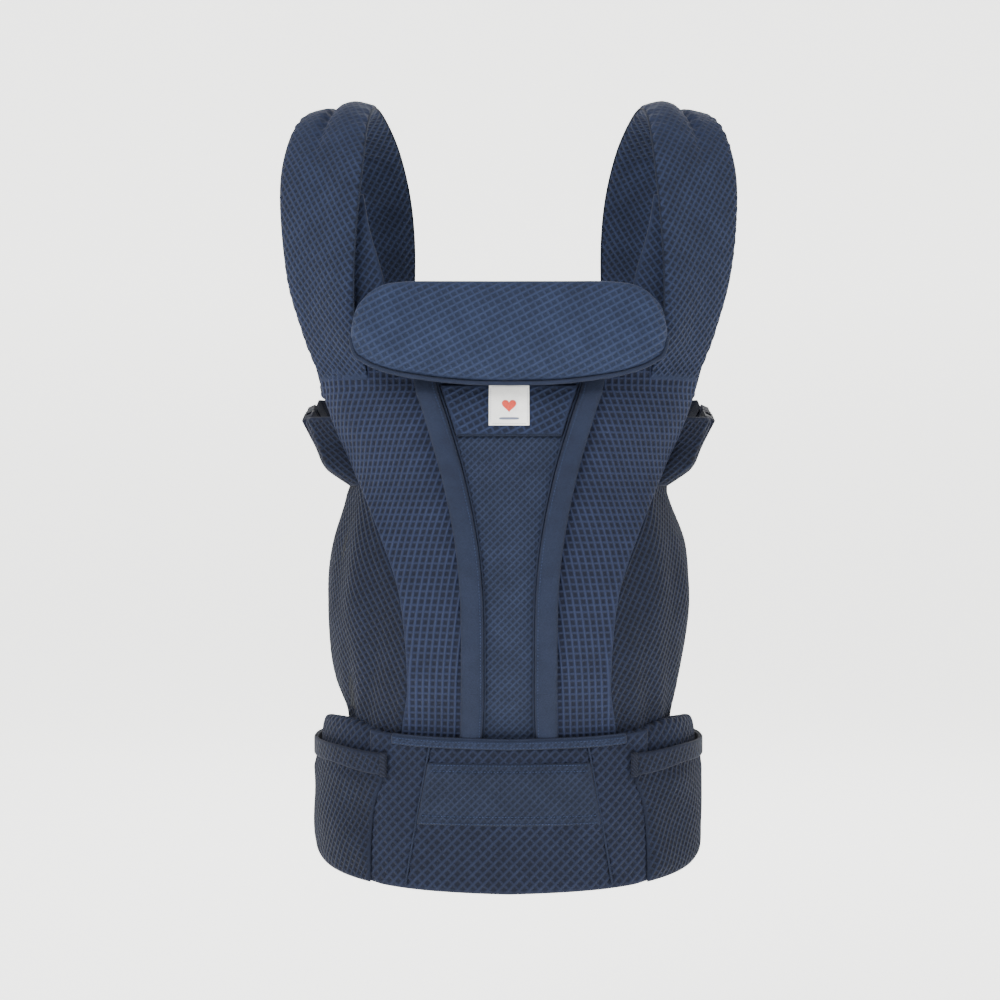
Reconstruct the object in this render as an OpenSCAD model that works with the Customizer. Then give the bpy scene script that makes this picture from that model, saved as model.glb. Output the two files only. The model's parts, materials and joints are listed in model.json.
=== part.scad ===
// Soft baby carrier: padded belt, front panel with head pillow, two shoulder straps, buckles.
// +Z is up and the front of the carrier faces -Y. The origin is the centre of the waist opening.

/* [Belt] */
// Half of the belt's outside width
belt_half_width = 190; // [180:1:195]
// Distance from the waist centre to the belt's outer face, front and back
belt_half_depth = 135; // [133:1:138]
// Thickness of the padded belt
belt_thick = 22; // [18:1:24]
// Angle from the front at which the belt padding ends, degrees
belt_end_angle = 135; // [130:1:138]
// Width of the belt webbing
belt_web = 40; // [38:1:42]

/* [Front panel] */
// Distance behind the waist centre line at which the panel is widest (negative is forward)
side_y = -15; // [-18:1:-12]
// Thickness of the waffle panels
panel_thick = 3; // [2:0.5:3.5]
// Width of the padded tubes beside the centre panel
tube_width = 20; // [16:1:22]

/* [Head pillow] */
// Half of the pillow's width
pillow_half_width = 147; // [140:1:148]
// Thickness of the pillow
pillow_thick = 30; // [24:1:32]
// Height of the pillow's fold line
pillow_top = 494; // [492:1:496]

/* [Shoulder straps] */
// Thickness of the padded straps
strap_thick = 14; // [12:1:15]
// Width of the strap webbing
strap_web = 25; // [24:1:26]
// Width of the chest webbing
chest_web = 20; // [19:1:21]

/* [Buckles] */
// Length of the male half inside the female half
buckle_depth = 18; // [17:1:19]
// Clearance between the two halves of a buckle
buckle_gap = 0.6; // [0.6:0.1:0.8]

/* [Hidden] */

NAVY = [0.21, 0.26, 0.37];
DARK_NAVY = [0.16, 0.19, 0.27];
PLASTIC = [0.14, 0.15, 0.21];
WHITE = [0.86, 0.86, 0.84];

PANEL_ROUND = 0.8;   // exponent that flattens the front of the panel's outline
BELT_ROUND = 0.9;    // the same for the belt
GAP = 0.3;           // room between neighbouring layers

// Panel profile by height: half width, and the y of its front
HALF_WIDTH = [[60, 160], [85, 161], [120, 170], [160, 177], [200, 181], [250, 176], [311, 159],
    [340, 165], [360, 177], [410, 200], [450, 212], [500, 214]];
FRONT_Y = [[60, -124], [85, -131], [120, -144], [160, -153], [200, -157], [250, -156], [311, -149],
    [360, -138], [410, -129], [450, -126], [500, -125]];
// Where the seams run, as a distance from the middle by height
TUBE_X = [[70, 35], [111, 33.5], [167, 33.5], [240, 37], [313, 50], [369, 66], [410, 79], [480, 92]];
WING_X = [[70, 103], [85, 101], [120, 96], [157, 97], [212, 104], [267, 124], [323, 150], [360, 167],
    [410, 186]];
// Rear edge of the seat sides, degrees round from the front
LEG_ANGLE = [[70, 94], [100, 101], [150, 107], [200, 109], [260, 106], [311, 97]];

function sgn(v) = v < 0 ? -1 : 1;
function rounded(v, p) = sgn(v) * pow(abs(v), p);
function mix(a, b, f) = a + (b - a) * f;
function unit(v) = v / norm(v);

// A point of the panel: angle from the front, height, and distance out from the outer face
function panel_point(angle, z, out = 0) =
    let (a = lookup(z, HALF_WIDTH) + out, b = side_y - lookup(z, FRONT_Y) + out)
    [a * rounded(sin(angle), PANEL_ROUND), side_y - b * rounded(cos(angle), PANEL_ROUND), z];
// The angle at which the panel's outer face is x from the middle
function panel_angle(x, z) =
    let (f = min(1, abs(x) / lookup(z, HALF_WIDTH)))
    sgn(x) * asin(pow(f, 1 / PANEL_ROUND));

function belt_point(angle, z, out = 0) =
    [(belt_half_width + out) * rounded(sin(angle), BELT_ROUND),
     -(belt_half_depth + out) * rounded(cos(angle), BELT_ROUND), z];
BELT_TOP = [[0, 72], [35, 76], [60, 86], [90, 80], [120, 66], [140, 54]];
BELT_BOTTOM = [[0, -73], [35, -69], [60, -62], [90, -48], [120, -44], [140, -42]];
function belt_top(angle) = lookup(abs(angle), BELT_TOP);
function belt_bottom(angle) = lookup(abs(angle), BELT_BOTTOM);

// A closed sheet between two grids of points with the same rows and columns
module slab(outer, inner) {
    rows = len(outer);
    cols = len(outer[0]);
    n = rows * cols;
    at = function(r, c, side) side * n + r * cols + c;
    points = [for (r = outer) each r, for (r = inner) each r];
    quad = function(a, b, c, d) [[a, b, c], [a, c, d]];
    faces = [
        for (r = [0 : rows - 2], c = [0 : cols - 2]) each concat(
            quad(at(r, c, 0), at(r + 1, c, 0), at(r + 1, c + 1, 0), at(r, c + 1, 0)),
            quad(at(r, c, 1), at(r, c + 1, 1), at(r + 1, c + 1, 1), at(r + 1, c, 1))),
        for (c = [0 : cols - 2]) each concat(
            quad(at(0, c, 0), at(0, c + 1, 0), at(0, c + 1, 1), at(0, c, 1)),
            quad(at(rows - 1, c, 0), at(rows - 1, c, 1), at(rows - 1, c + 1, 1), at(rows - 1, c + 1, 0))),
        for (r = [0 : rows - 2]) each concat(
            quad(at(r, 0, 0), at(r, 0, 1), at(r + 1, 0, 1), at(r + 1, 0, 0)),
            quad(at(r, cols - 1, 0), at(r + 1, cols - 1, 0), at(r + 1, cols - 1, 1), at(r, cols - 1, 1)))
    ];
    polyhedron(points = points, faces = faces);
}

// A closed solid through rings of points, each ring convex
module loft(rings) {
    k = len(rings[0]);
    last = len(rings) - 1;
    faces = [
        for (r = [0 : last - 1], i = [0 : k - 1])
            let (j = (i + 1) % k)
            each [[r * k + i, r * k + j, (r + 1) * k + j], [r * k + i, (r + 1) * k + j, (r + 1) * k + i]],
        for (i = [1 : k - 2]) each [[0, i + 1, i], [last * k, last * k + i, last * k + i + 1]]
    ];
    polyhedron(points = [for (r = rings) each r], faces = faces);
}

// A sheet on the panel: angle limits are functions of height, height limits functions of the fraction across
module panel_sheet(side, near, far, low, high, inner, outer, cols = 8, rows = 14) {
    grid = function(out) [
        for (v = [0 : rows]) [
            for (u = [0 : cols])
                let (f = u / cols, z = mix(low(f), high(f), v / rows),
                     angle = side * mix(near(z), far(z), f))
                panel_point(angle, z, out)]];
    if (side > 0) slab(grid(outer), grid(inner));
    else slab(grid(inner), grid(outer));
}

module belt_sheet(from, to, low, high, inner, outer, cols = 12, rows = 3) {
    grid = function(out) [
        for (v = [0 : rows]) [
            for (u = [0 : cols])
                let (angle = mix(from, to, u / cols))
                belt_point(angle, mix(low(angle), high(angle), v / rows), out)]];
    slab(grid(outer), grid(inner));
}

// A rod of round section along points, each ring turned to follow the path
module rod(path, r, sides = 8) {
    last = len(path) - 1;
    loft([for (i = [0 : last])
        let (t = unit(path[min(i + 1, last)] - path[max(i - 1, 0)]),
             a = unit(cross(t, abs(t.z) > 0.8 ? [0, 1, 0] : [0, 0, 1])),
             b = cross(t, a))
        [for (k = [0 : sides - 1]) path[i] + r * (cos(360 * k / sides) * a + sin(360 * k / sides) * b)]]);
}

// ---- Front panel -------------------------------------------------------------------------------

PANEL_LOW = 73.5;
PANEL_HIGH = 490;
SEAT_TOP = 311;
WING_HIGH = 398;

function tube_angle(z) = panel_angle(lookup(z, TUBE_X), z);
function wing_angle(z) = panel_angle(lookup(z, WING_X), z);

module centre_panel() color(NAVY)
    slab(centre_grid(0), centre_grid(-panel_thick));
function centre_grid(out) = [
    for (v = [0 : 16]) let (z = mix(PANEL_LOW, PANEL_HIGH, v / 16), half = tube_angle(z) - 0.1) [
        for (u = [0 : 8]) panel_point(mix(-half, half, u / 8), z, out)]];

module wing(side) color(NAVY)
    panel_sheet(side, function(z) tube_angle(z) + 0.1, function(z) wing_angle(z),
        function(f) PANEL_LOW + 7 * f, function(f) WING_HIGH, -panel_thick, 0);
module wing_left() wing(-1);
module wing_right() wing(1);

module tube(side) color(NAVY)
    loft([for (v = [0 : 22])
        let (z = mix(PANEL_LOW + 2, 402, v / 22), mid = tube_angle(z),
             half = panel_angle(lookup(z, TUBE_X) + tube_width / 2, z) - mid,
             height = mix(7, 9, v / 22))
        [for (k = [0 : 9])
            let (turn = 36 * k * side)
            panel_point(side * (mid + half * cos(turn)), z, GAP + height / 2 + height / 2 * sin(turn))]]);
module tube_left() tube(-1);
module tube_right() tube(1);

module seat_side(side) color(DARK_NAVY)
    panel_sheet(side, function(z) wing_angle(z) + 0.7, function(z) lookup(z, LEG_ANGLE),
        function(f) PANEL_LOW + 7 + 6.5 * sin(180 * min(1, 0.5 + f / 2)) + 6 * (1 - f) - 3 * f,
        function(f) SEAT_TOP, -panel_thick, 0, 16, 14);
module seat_side_left() seat_side(-1);
module seat_side_right() seat_side(1);

LINER_OUT = -panel_thick - 2.6;
LINER_IN = LINER_OUT - 2.4;
module inner_liner() color(DARK_NAVY)
    slab(liner_grid(LINER_OUT), liner_grid(LINER_IN));
function liner_edge(z) = z < SEAT_TOP ? lookup(z, LEG_ANGLE) :
    mix(97, wing_angle(WING_HIGH), min(1, (z - SEAT_TOP) / 40));
function liner_grid(out) = [
    for (v = [0 : 14]) let (z = mix(92, PANEL_HIGH - 2, v / 14), edge = liner_edge(z) * (z > 385 ? 0.6 : 1)) [
        for (u = [0 : 48]) panel_point(mix(-edge, edge, u / 48), z, out)]];

BINDING_R = 4.5;
module leg_binding(side) color(NAVY)
    rod([for (v = [0 : 14])
        let (z = mix(98, 300, v / 14))
        panel_point(side * (lookup(z, LEG_ANGLE) + 2.4), z, -4)], BINDING_R);
module leg_binding_left() leg_binding(-1);
module leg_binding_right() leg_binding(1);

HOOD_LOW = 412;
HOOD_HIGH = 480;
module front_pad(low, high, half, inner, outer) {
    grid = function(out) [
        for (v = [0 : 4]) [
            for (u = [0 : 8])
                let (z = mix(low, high, v / 4)) panel_point(mix(-half, half, u / 8), z, out)]];
    slab(grid(outer), grid(inner));
}
module sleeping_hood() color(DARK_NAVY) front_pad(HOOD_LOW + 3, HOOD_HIGH - 3, 14, GAP, 3);
module hood_pocket() color(NAVY) front_pad(HOOD_LOW, HOOD_HIGH, 16, 3 + GAP, 3 + GAP + 1);

// ---- Shoulder straps ---------------------------------------------------------------------------

SWING = [0, -81, 589];      // axis of the strap's swing, along X
// Inner and outer edge of the left strap, as seen by the wearer's front, from the root over the arch
STRAP_EDGES = [
    [[-130, -122, 401], [-182, -72, 401]],
    [[-143, -124, 450], [-196, -66, 450]],
    [[-146, -118, 500], [-209, -62, 505]],
    [[-144, -108, 560], [-216, -56, 565]],
    [[-140, -90, 615], [-216, -46, 615]],
    [[-138, -55, 660], [-208, -26, 658]],
    [[-134, -10, 684], [-198, 2, 680]],
    [[-126, 35, 683], [-192, 34, 679]],
    [[-114, 75, 658], [-188, 70, 655]],
    [[-104, 98, 613], [-186, 92, 613]],
    [[-100, 106, 560], [-184, 102, 560]],
    [[-102, 108, 500], [-187, 103, 500]],
    [[-110, 106, 440], [-196, 98, 440]],
    [[-122, 100, 400], [-204, 89, 400]]
];
STRAP_STEPS = 26;
function along(points, f) =
    let (s = f * (len(points) - 1), i = min(floor(s), len(points) - 2), t = s - i,
         p0 = points[max(i - 1, 0)], p1 = points[i], p2 = points[i + 1], p3 = points[min(i + 2, len(points) - 1)])
    0.5 * ((2 * p1) + (p2 - p0) * t + (2 * p0 - 5 * p1 + 4 * p2 - p3) * t * t
        + (3 * p1 - p0 - 3 * p2 + p3) * t * t * t);
function strap_inner(f) = along([for (e = STRAP_EDGES) e[0]], f);
function strap_outer(f) = along([for (e = STRAP_EDGES) e[1]], f);
// One ring of the strap's section: a flat pad with rounded edges
function strap_ring(f, side) =
    let (a = strap_inner(f), b = strap_outer(f), across = (b - a) / 2, mid = (a + b) / 2,
         step = (strap_inner(min(f + 0.01, 1)) + strap_outer(min(f + 0.01, 1))
             - strap_inner(max(f - 0.01, 0)) - strap_outer(max(f - 0.01, 0))),
         normal = unit(cross(step, across)) * strap_thick / 2)
    [for (k = [0 : 11])
        let (turn = 30 * k * side,
             p = mid + across * rounded(cos(turn), 0.55) + normal * rounded(sin(turn), 0.7))
        [-side * p.x, p.y, p.z]];
module strap_whole(side) loft([for (i = [0 : STRAP_STEPS]) strap_ring(i / STRAP_STEPS, side)]);
// The front stretch ends in a plane below the swing's axis, and the pad starts in one above it
CUT = 27;
FAR = 400;
module strap_root(side) color(NAVY)
    difference() {
        strap_whole(side);
        translate([-FAR, -FAR, SWING.z - 1]) cube(2 * FAR);
        translate(SWING) rotate([CUT, 0, 0]) translate([-FAR, -FAR, -0.5]) cube([2 * FAR, FAR + 0.5, FAR]);
        translate([-FAR, 0, 0]) cube(2 * FAR);
    }
module strap_root_left() strap_root(-1);
module strap_root_right() strap_root(1);
module strap_pad(side) color(NAVY)
    difference() {
        strap_whole(side);
        translate([-FAR, -FAR, 0]) cube([2 * FAR, FAR, SWING.z + 0.5]);
        translate(SWING) rotate([-CUT, 0, 0]) translate([-FAR, -FAR, -FAR]) cube([2 * FAR, FAR + 0.5, FAR + 0.5]);
    }
module strap_pad_left() strap_pad(-1);
module strap_pad_right() strap_pad(1);

// ---- Buckles -----------------------------------------------------------------------------------
// Local frame: +X is the way the male half leaves, Y is the thickness, Z the width across the webbing.

HALF_DEPTH = buckle_depth / 2;
WALL = 3;
CAVITY_HALF = 3.2;
FEMALE_TAIL = -22;
BASE_END = 15.5;
MALE_END = 30;

function body_width(web) = web + 11;
function cavity_width(web) = body_width(web) - 2 * WALL;

module block(x0, x1, half_y, half_z)
    translate([x0, -half_y, -half_z]) cube([x1 - x0, 2 * half_y, 2 * half_z]);
// A block with its long edges rounded along Z
module soft_block(x0, x1, half_y, half_z, r = 3)
    translate([0, 0, -half_z]) linear_extrude(2 * half_z)
        union() {
            translate([x0 + r, -half_y]) square([x1 - x0 - 2 * r, 2 * half_y]);
            translate([x0, -half_y + r]) square([x1 - x0, 2 * half_y - 2 * r]);
            for (x = [x0 + r, x1 - r], y = [-half_y + r, half_y - r]) translate([x, y]) circle(r, $fn = 32);
        }
module female_half(web, half_y) {
    difference() {
        soft_block(FEMALE_TAIL, HALF_DEPTH, half_y, body_width(web) / 2);
        block(-HALF_DEPTH - 1, HALF_DEPTH + 1, CAVITY_HALF, cavity_width(web) / 2);
        block(-5, 4, CAVITY_HALF, body_width(web));
        block(-18.5, -14, 20, web / 2 + 0.7);
    }
}
module male_half(web, half_y) {
    difference() {
        soft_block(HALF_DEPTH + 0.5, BASE_END, half_y - 0.5, body_width(web) / 2, 2.5);
        for (s = [-1, 1]) translate([0, 0, s * (cavity_width(web) / 2 - 2.6)]) block(0, 11, 2.8, 3);
    }
    block(-HALF_DEPTH + 0.6, HALF_DEPTH + 1, 2.2, 4);
    for (s = [-1, 1])
        translate([0, 0, s * (web / 2 + 3.25)]) block(BASE_END - 0.5, MALE_END, 4, 2.25);
    for (x = [18.5, 26.5])
        translate([x, -4, -web / 2 - 2]) cube([3.5, 2, web + 4]);
}
// One squeeze arm; edge is +1 for the arm at +Z
module squeeze_arm(web, edge) {
    outer = cavity_width(web) / 2 - buckle_gap;
    translate([0, 0, edge * (outer - 2)]) block(-HALF_DEPTH + 0.8, 10.4, 2.3, 2);
}
// Both webbing layers at a male half: the moving one is wrapped on the ladder's bars
module moving_web(web, reach) translate([22.3, -1.8, -web / 2]) cube([reach - 22.3, 1.5, web]);

SIDE_X = 192;
SIDE_BUCKLE = [0, -8, 366];
SIDE_RISE = 18;      // upward slope of the side buckle's axis, degrees
SIDE_LEAN = 25;      // lean of its upper edge away from the child, degrees
module at_side_buckle(side)
    translate([side * SIDE_X, SIDE_BUCKLE.y, SIDE_BUCKLE.z])
        rotate([SIDE_RISE, 0, 0]) rotate([0, side * SIDE_LEAN, 0])
            scale([side, 1, 1]) rotate([0, 0, 90]) children();
SMALL_HALF_Y = 5.5;
module side_female(side) color(PLASTIC) at_side_buckle(side) female_half(strap_web, SMALL_HALF_Y);
module side_female_left() side_female(-1);
module side_female_right() side_female(1);
module side_male(side) color(PLASTIC) at_side_buckle(side) {
    male_half(strap_web, SMALL_HALF_Y);
    moving_web(strap_web, 46);
}
module side_male_left() side_male(-1);
module side_male_right() side_male(1);
module side_arm(side, edge) color(PLASTIC) at_side_buckle(side) squeeze_arm(strap_web, edge);
module side_arm_front_left() side_arm(-1, 1);
module side_arm_rear_left() side_arm(-1, -1);
module side_arm_front_right() side_arm(1, 1);
module side_arm_rear_right() side_arm(1, -1);

// The fabric ear that joins the seat side to the female half's tail
TAB_X = [[311.5, 157.5], [318, 165], [326, 176], [345, 186], [371, 197]];
TAB_FRONT = [[311.5, -76], [340, -70], [371, -50]];
TAB_REAR = [[311.5, -24], [340, -30], [371, -34]];
module side_tab(side) color(DARK_NAVY) {
    grid = function(out) [
        for (v = [0 : 8])
            let (z = mix(311.5, 371, v / 8)) [
                for (u = [0 : 4])
                    [side * (lookup(z, TAB_X) + out), mix(lookup(z, TAB_FRONT), lookup(z, TAB_REAR), u / 4), z]]];
    if (side > 0) slab(grid(2), grid(-2));
    else slab(grid(-2), grid(2));
}
module side_tab_left() side_tab(-1);
module side_tab_right() side_tab(1);

// Strap webbing from the pad's end forward to the male half, with the rolled tail
WEB_T = 1.5;
module strap_web_run(side) color(PLASTIC) {
    at_side_buckle(side)
        translate([0, 0, -strap_web / 2]) linear_extrude(strap_web)
            polygon([[38, 0], [70, 0], [70, WEB_T], [38, WEB_T]]);
    hull() {
        at_side_buckle(side) translate([69, 0, -strap_web / 2]) cube([1, WEB_T, strap_web]);
        translate([side * 168 - 12, 92.5, 396]) cube([24, 3, 2]);
    }
}
module strap_web_left() strap_web_run(-1);
module strap_web_right() strap_web_run(1);

// ---- Chest strap -------------------------------------------------------------------------------

RAIL_X = 146;
RAIL_Y = 112.6;
module chest_rail(side) color(PLASTIC)
    translate([side * RAIL_X - 6, RAIL_Y, 470]) cube([12, 2.5, 105]);
module chest_rail_left() chest_rail(-1);
module chest_rail_right() chest_rail(1);

SLIDER_Z = 530;
CHEST_Y = 123;
module chest_slider(side) color(PLASTIC)
    translate([side * RAIL_X, RAIL_Y, SLIDER_Z]) {
        difference() {
            translate([-13, 0.3, -12]) cube([26, 7, 24]);
            translate([-6.4, -1, -20]) cube([12.8, 4, 40]);
        }
        translate([-chest_web / 2, CHEST_Y - RAIL_Y - 0.75, -56]) cube([chest_web, WEB_T, 66]);
        translate([-chest_web / 2, 7, 2]) cube([chest_web, CHEST_Y - RAIL_Y - 7, 6]);
    }
module chest_slider_left() chest_slider(-1);
module chest_slider_right() chest_slider(1);
module at_chest_buckle(side, z, up)
    translate([side * RAIL_X, CHEST_Y, z]) rotate([0, up ? 90 : -90, 0]) children();
THIN_HALF_Y = 5;
module chest_male() color(PLASTIC)
    at_chest_buckle(-1, SLIDER_Z - 86.5, false) {
        male_half(chest_web, THIN_HALF_Y);
        for (s = [-1, 1]) squeeze_arm(chest_web, s);
        translate([22.3, -0.75, -chest_web / 2]) cube([7.7, WEB_T, chest_web]);
        translate([18.5, -3, -chest_web / 2]) cube([3.5, 3.5, chest_web]);
    }
module chest_female() color(PLASTIC)
    at_chest_buckle(1, SLIDER_Z - 78.5, true) {
        female_half(chest_web, THIN_HALF_Y);
        translate([FEMALE_TAIL - 0.2, -0.75, -chest_web / 2]) cube([4, WEB_T, chest_web]);
    }

// ---- Head pillow -------------------------------------------------------------------------------

PILLOW_BACK = -134;
module head_pillow() color(NAVY)
    loft([for (i = [-16 : 16])
        let (f = sin(90 * i / 16), edge = sqrt(1 - pow(f, 2) * 0.94), x = f * pillow_half_width,
             low = 404 + 22 * pow(abs(f), 3), high = pillow_top + 4 - 14 * pow(abs(f), 4),
             mid = (low + high) / 2 - 2 * pow(f, 2), tall = (high - low) / 2 * pow(edge, 0.7),
             deep = pillow_thick / 2 * edge)
        [for (k = [0 : 13])
            let (turn = 360 * k / 14)
            [x, PILLOW_BACK - deep + deep * rounded(sin(turn), 0.8), mid + tall * rounded(cos(turn), 0.7)]]]);
module pillow_piping() color(NAVY)
    rod([for (i = [-12 : 12])
        let (f = sin(84 * i / 12), edge = sqrt(1 - pow(f, 2) * 0.94))
        [f * (pillow_half_width + 1), PILLOW_BACK - pillow_thick / 2 * edge,
         404 + 22 * pow(abs(f), 3) - 3.2 + 14 * pow(abs(f), 6)]], 2.2);
module pillow_tabs() color(DARK_NAVY)
    for (s = [-1, 1]) {
        translate([s * 96 - 9, PILLOW_BACK + 0.5, 436]) cube([18, 1.2, 40]);
        translate([s * 96, PILLOW_BACK + 1.7, 444]) rotate([-90, 0, 0]) cylinder(1.8, 6.5, 6.5, $fn = 40);
    }

// ---- Pocket flap and label ---------------------------------------------------------------------

FLAP_LOW = 354;
FLAP_HIGH = 399.5;
FLAP_OUT = 1;
function flap_half(z) = panel_angle(lookup(z, TUBE_X) - tube_width / 2 - 3, z);
module pocket_flap() color(NAVY) {
    grid = function(out) [
        for (v = [0 : 5])
            let (z = mix(FLAP_LOW, FLAP_HIGH, v / 5), half = flap_half(z)) [
                for (u = [0 : 8]) panel_point(mix(-half, half, u / 8), z, out)]];
    slab(grid(FLAP_OUT + 2), grid(FLAP_OUT));
}
module label() color(WHITE) {
    grid = function(out) [
        for (v = [0 : 4])
            let (z = mix(364, 398, v / 4), half = panel_angle(18.5, z)) [
                for (u = [0 : 4]) panel_point(mix(-half, half, u / 4), z, out)]];
    slab(grid(FLAP_OUT + 3), grid(FLAP_OUT + 2.1));
}

// ---- Belt --------------------------------------------------------------------------------------

CORE_OUT = -2.5;
module belt_core() color(DARK_NAVY) {
    steps = 48;
    half = (belt_thick + CORE_OUT) / 2;
    loft([for (i = [0 : steps])
        let (angle = mix(-belt_end_angle, belt_end_angle, i / steps),
             high = belt_top(angle) - 0.5, low = belt_bottom(angle))
        [for (k = [0 : 11])
            let (turn = 30 * k)
            belt_point(angle, (high + low) / 2 + (high - low) / 2 * rounded(cos(turn), 0.35),
                CORE_OUT - half + half * rounded(sin(turn), 0.6))]]);
}
module belt_apron() color(NAVY)
    belt_sheet(-40.5, 40.5, function(a) belt_bottom(a) + 3, function(a) belt_top(a) - 1, -2.2, 0, 20);
POUCH_TOP = 53;
module belt_pouch(side) color(DARK_NAVY)
    belt_sheet(side > 0 ? 41 : -128, side > 0 ? 128 : -41, function(a) belt_bottom(a) + 5,
        function(a) POUCH_TOP, -2.2, 0, 14);
module belt_pouch_left() belt_pouch(-1);
module belt_pouch_right() belt_pouch(1);
module belt_band() color(NAVY)
    belt_sheet(-33, 33, function(a) belt_top(a) - 9, function(a) belt_top(a) - 1, GAP, 1.8, 14, 1);
module waist_patch() color(NAVY)
    belt_sheet(-24.5, 24.5, function(a) -8, function(a) 50, GAP, 1.8, 12, 2);
module hem_band(side) color(DARK_NAVY)
    belt_sheet(side > 0 ? 45 : -125, side > 0 ? 125 : -45, function(a) POUCH_TOP - 19,
        function(a) POUCH_TOP - 1, GAP, 1.6, 12, 1);
module hem_band_left() hem_band(-1);
module hem_band_right() hem_band(1);
module pouch_loop(side) color(PLASTIC)
    belt_sheet(side * 38 - 1.6, side * 38 + 1.6, function(a) 31, function(a) 54, GAP, 2.5, 2, 2);
module pouch_loop_left() pouch_loop(-1);
module pouch_loop_right() pouch_loop(1);
module seat_width_tab(side) color(PLASTIC)
    belt_sheet(side * 24 - 7, side * 24 + 7, function(a) 30, function(a) 58, -belt_thick - 4,
        -belt_thick - 1.4, 4, 1);
module seat_width_tab_left() seat_width_tab(-1);
module seat_width_tab_right() seat_width_tab(1);

// Belt webbing round the back, at the belt's mid height
WEB_Z = 6;
WAIST_Y = 133;
WAIST_PATH = [[185.5, 42], [178.8, 58], [168, 76.8], [153, 94.8], [138, 106.5], [122, 118], [106, 126.5], [92, 131.5],
    [82, WAIST_Y]];
WAIST_HALF_Y = 7;
module waist_run(side, end) color(PLASTIC) {
    path = concat(WAIST_PATH, [[end, WAIST_Y]]);
    out = [for (i = [0 : len(path) - 1])
        let (d = unit(path[min(i + 1, len(path) - 1)] - path[max(i - 1, 0)])) path[i] + WEB_T * [-d.y, d.x] * -1];
    translate([0, 0, WEB_Z - belt_web / 2]) linear_extrude(belt_web)
        polygon([for (p = path) [side * p.x, p.y], for (i = [len(out) - 1 : -1 : 0]) [side * out[i].x, out[i].y]]);
}
module waist_web_left() waist_run(-1, 48);
module waist_web_right() waist_run(1, 23.6);
module at_waist_buckle() translate([0, WAIST_Y, WEB_Z]) rotate([0, 0, 180]) scale([1, -1, 1]) children();
BUTTON_R = 6;
module waist_female() color(PLASTIC) {
    at_waist_buckle() difference() {
        female_half(belt_web, WAIST_HALF_Y);
        translate([-2, 0, 0]) rotate([-90, 0, 0]) cylinder(20, BUTTON_R + 0.2, BUTTON_R + 0.2, $fn = 48);
    }
}
module safety_button() color(PLASTIC)
    at_waist_buckle() translate([-2, 4.6, 0]) rotate([-90, 0, 0]) cylinder(3.6, BUTTON_R, BUTTON_R, $fn = 48);
module waist_male() color(PLASTIC) at_waist_buckle() {
    male_half(belt_web, WAIST_HALF_Y);
    moving_web(belt_web, 60);
}
module waist_arm(edge) color(PLASTIC) at_waist_buckle() squeeze_arm(belt_web, edge);
module waist_arm_upper() waist_arm(1);
module waist_arm_lower() waist_arm(-1);
// Elastic keeper with the rolled webbing tail, on the outside of the right run
module waist_keeper() color(PLASTIC)
    translate([52, WAIST_Y + WEB_T + 0.4, WEB_Z]) {
        translate([-6, 0, -belt_web / 2 - 2]) cube([12, 1.2, belt_web + 4]);
        translate([0, 6.2, -belt_web / 2]) cylinder(belt_web, 5, 5, $fn = 48);
    }

centre_panel();
inner_liner();
wing_left();
wing_right();
tube_left();
tube_right();
seat_side_left();
seat_side_right();
leg_binding_left();
leg_binding_right();
sleeping_hood();
hood_pocket();
strap_root_left();
strap_root_right();
belt_core();
belt_apron();
belt_pouch_left();
belt_pouch_right();
belt_band();
waist_patch();
hem_band_left();
hem_band_right();
pouch_loop_left();
pouch_loop_right();
side_tab_left();
side_tab_right();
side_female_left();
side_female_right();
waist_web_left();
waist_web_right();
waist_female();
waist_keeper();
pocket_flap();
label();
head_pillow();
pillow_piping();
pillow_tabs();
strap_pad_left();
strap_pad_right();
strap_web_left();
strap_web_right();
chest_rail_left();
chest_rail_right();
side_male_left();
side_male_right();
side_arm_front_left();
side_arm_rear_left();
side_arm_front_right();
side_arm_rear_right();
waist_male();
waist_arm_upper();
waist_arm_lower();
safety_button();
chest_slider_left();
chest_slider_right();
chest_male();
chest_female();
seat_width_tab_left();
seat_width_tab_right();
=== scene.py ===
"""Soft baby carrier in navy mesh: front panel, padded belt, head pillow and shoulder straps.

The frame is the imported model's: metres, the wearer's waist at the origin, +Z up and the
carried child's side of the belt towards -Y. Cloth pieces are closed pads built from an outer
and an inner layer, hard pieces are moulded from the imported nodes.
"""

import json
import logging
import math
from dataclasses import dataclass
from enum import Enum

import bmesh
import bpy
import numpy as np
from mathutils import Matrix, Vector


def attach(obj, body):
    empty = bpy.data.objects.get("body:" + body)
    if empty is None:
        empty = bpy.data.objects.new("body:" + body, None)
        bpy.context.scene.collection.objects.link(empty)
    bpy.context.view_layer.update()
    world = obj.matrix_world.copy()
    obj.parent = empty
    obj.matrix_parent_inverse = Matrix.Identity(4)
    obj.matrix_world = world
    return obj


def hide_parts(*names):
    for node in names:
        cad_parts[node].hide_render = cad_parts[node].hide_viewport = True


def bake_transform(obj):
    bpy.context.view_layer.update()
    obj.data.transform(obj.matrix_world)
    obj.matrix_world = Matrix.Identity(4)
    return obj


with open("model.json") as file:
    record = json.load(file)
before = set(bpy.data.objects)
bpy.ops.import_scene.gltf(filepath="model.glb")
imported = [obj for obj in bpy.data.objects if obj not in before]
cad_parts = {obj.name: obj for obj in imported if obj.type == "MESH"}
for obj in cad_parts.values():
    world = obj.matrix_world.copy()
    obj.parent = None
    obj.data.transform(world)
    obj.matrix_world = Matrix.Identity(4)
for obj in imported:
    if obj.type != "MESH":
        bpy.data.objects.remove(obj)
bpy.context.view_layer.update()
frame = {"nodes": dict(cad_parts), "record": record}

log = logging.getLogger("carrier")

Table = tuple[tuple[float, float], ...]
UV_NAME = "cloth"
LIFT_NAME = "lift"
FINE = 0.0016       # quad size of an embossed cloth surface
COARSE = 0.0032     # quad size of a pad before its subdivision


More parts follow.
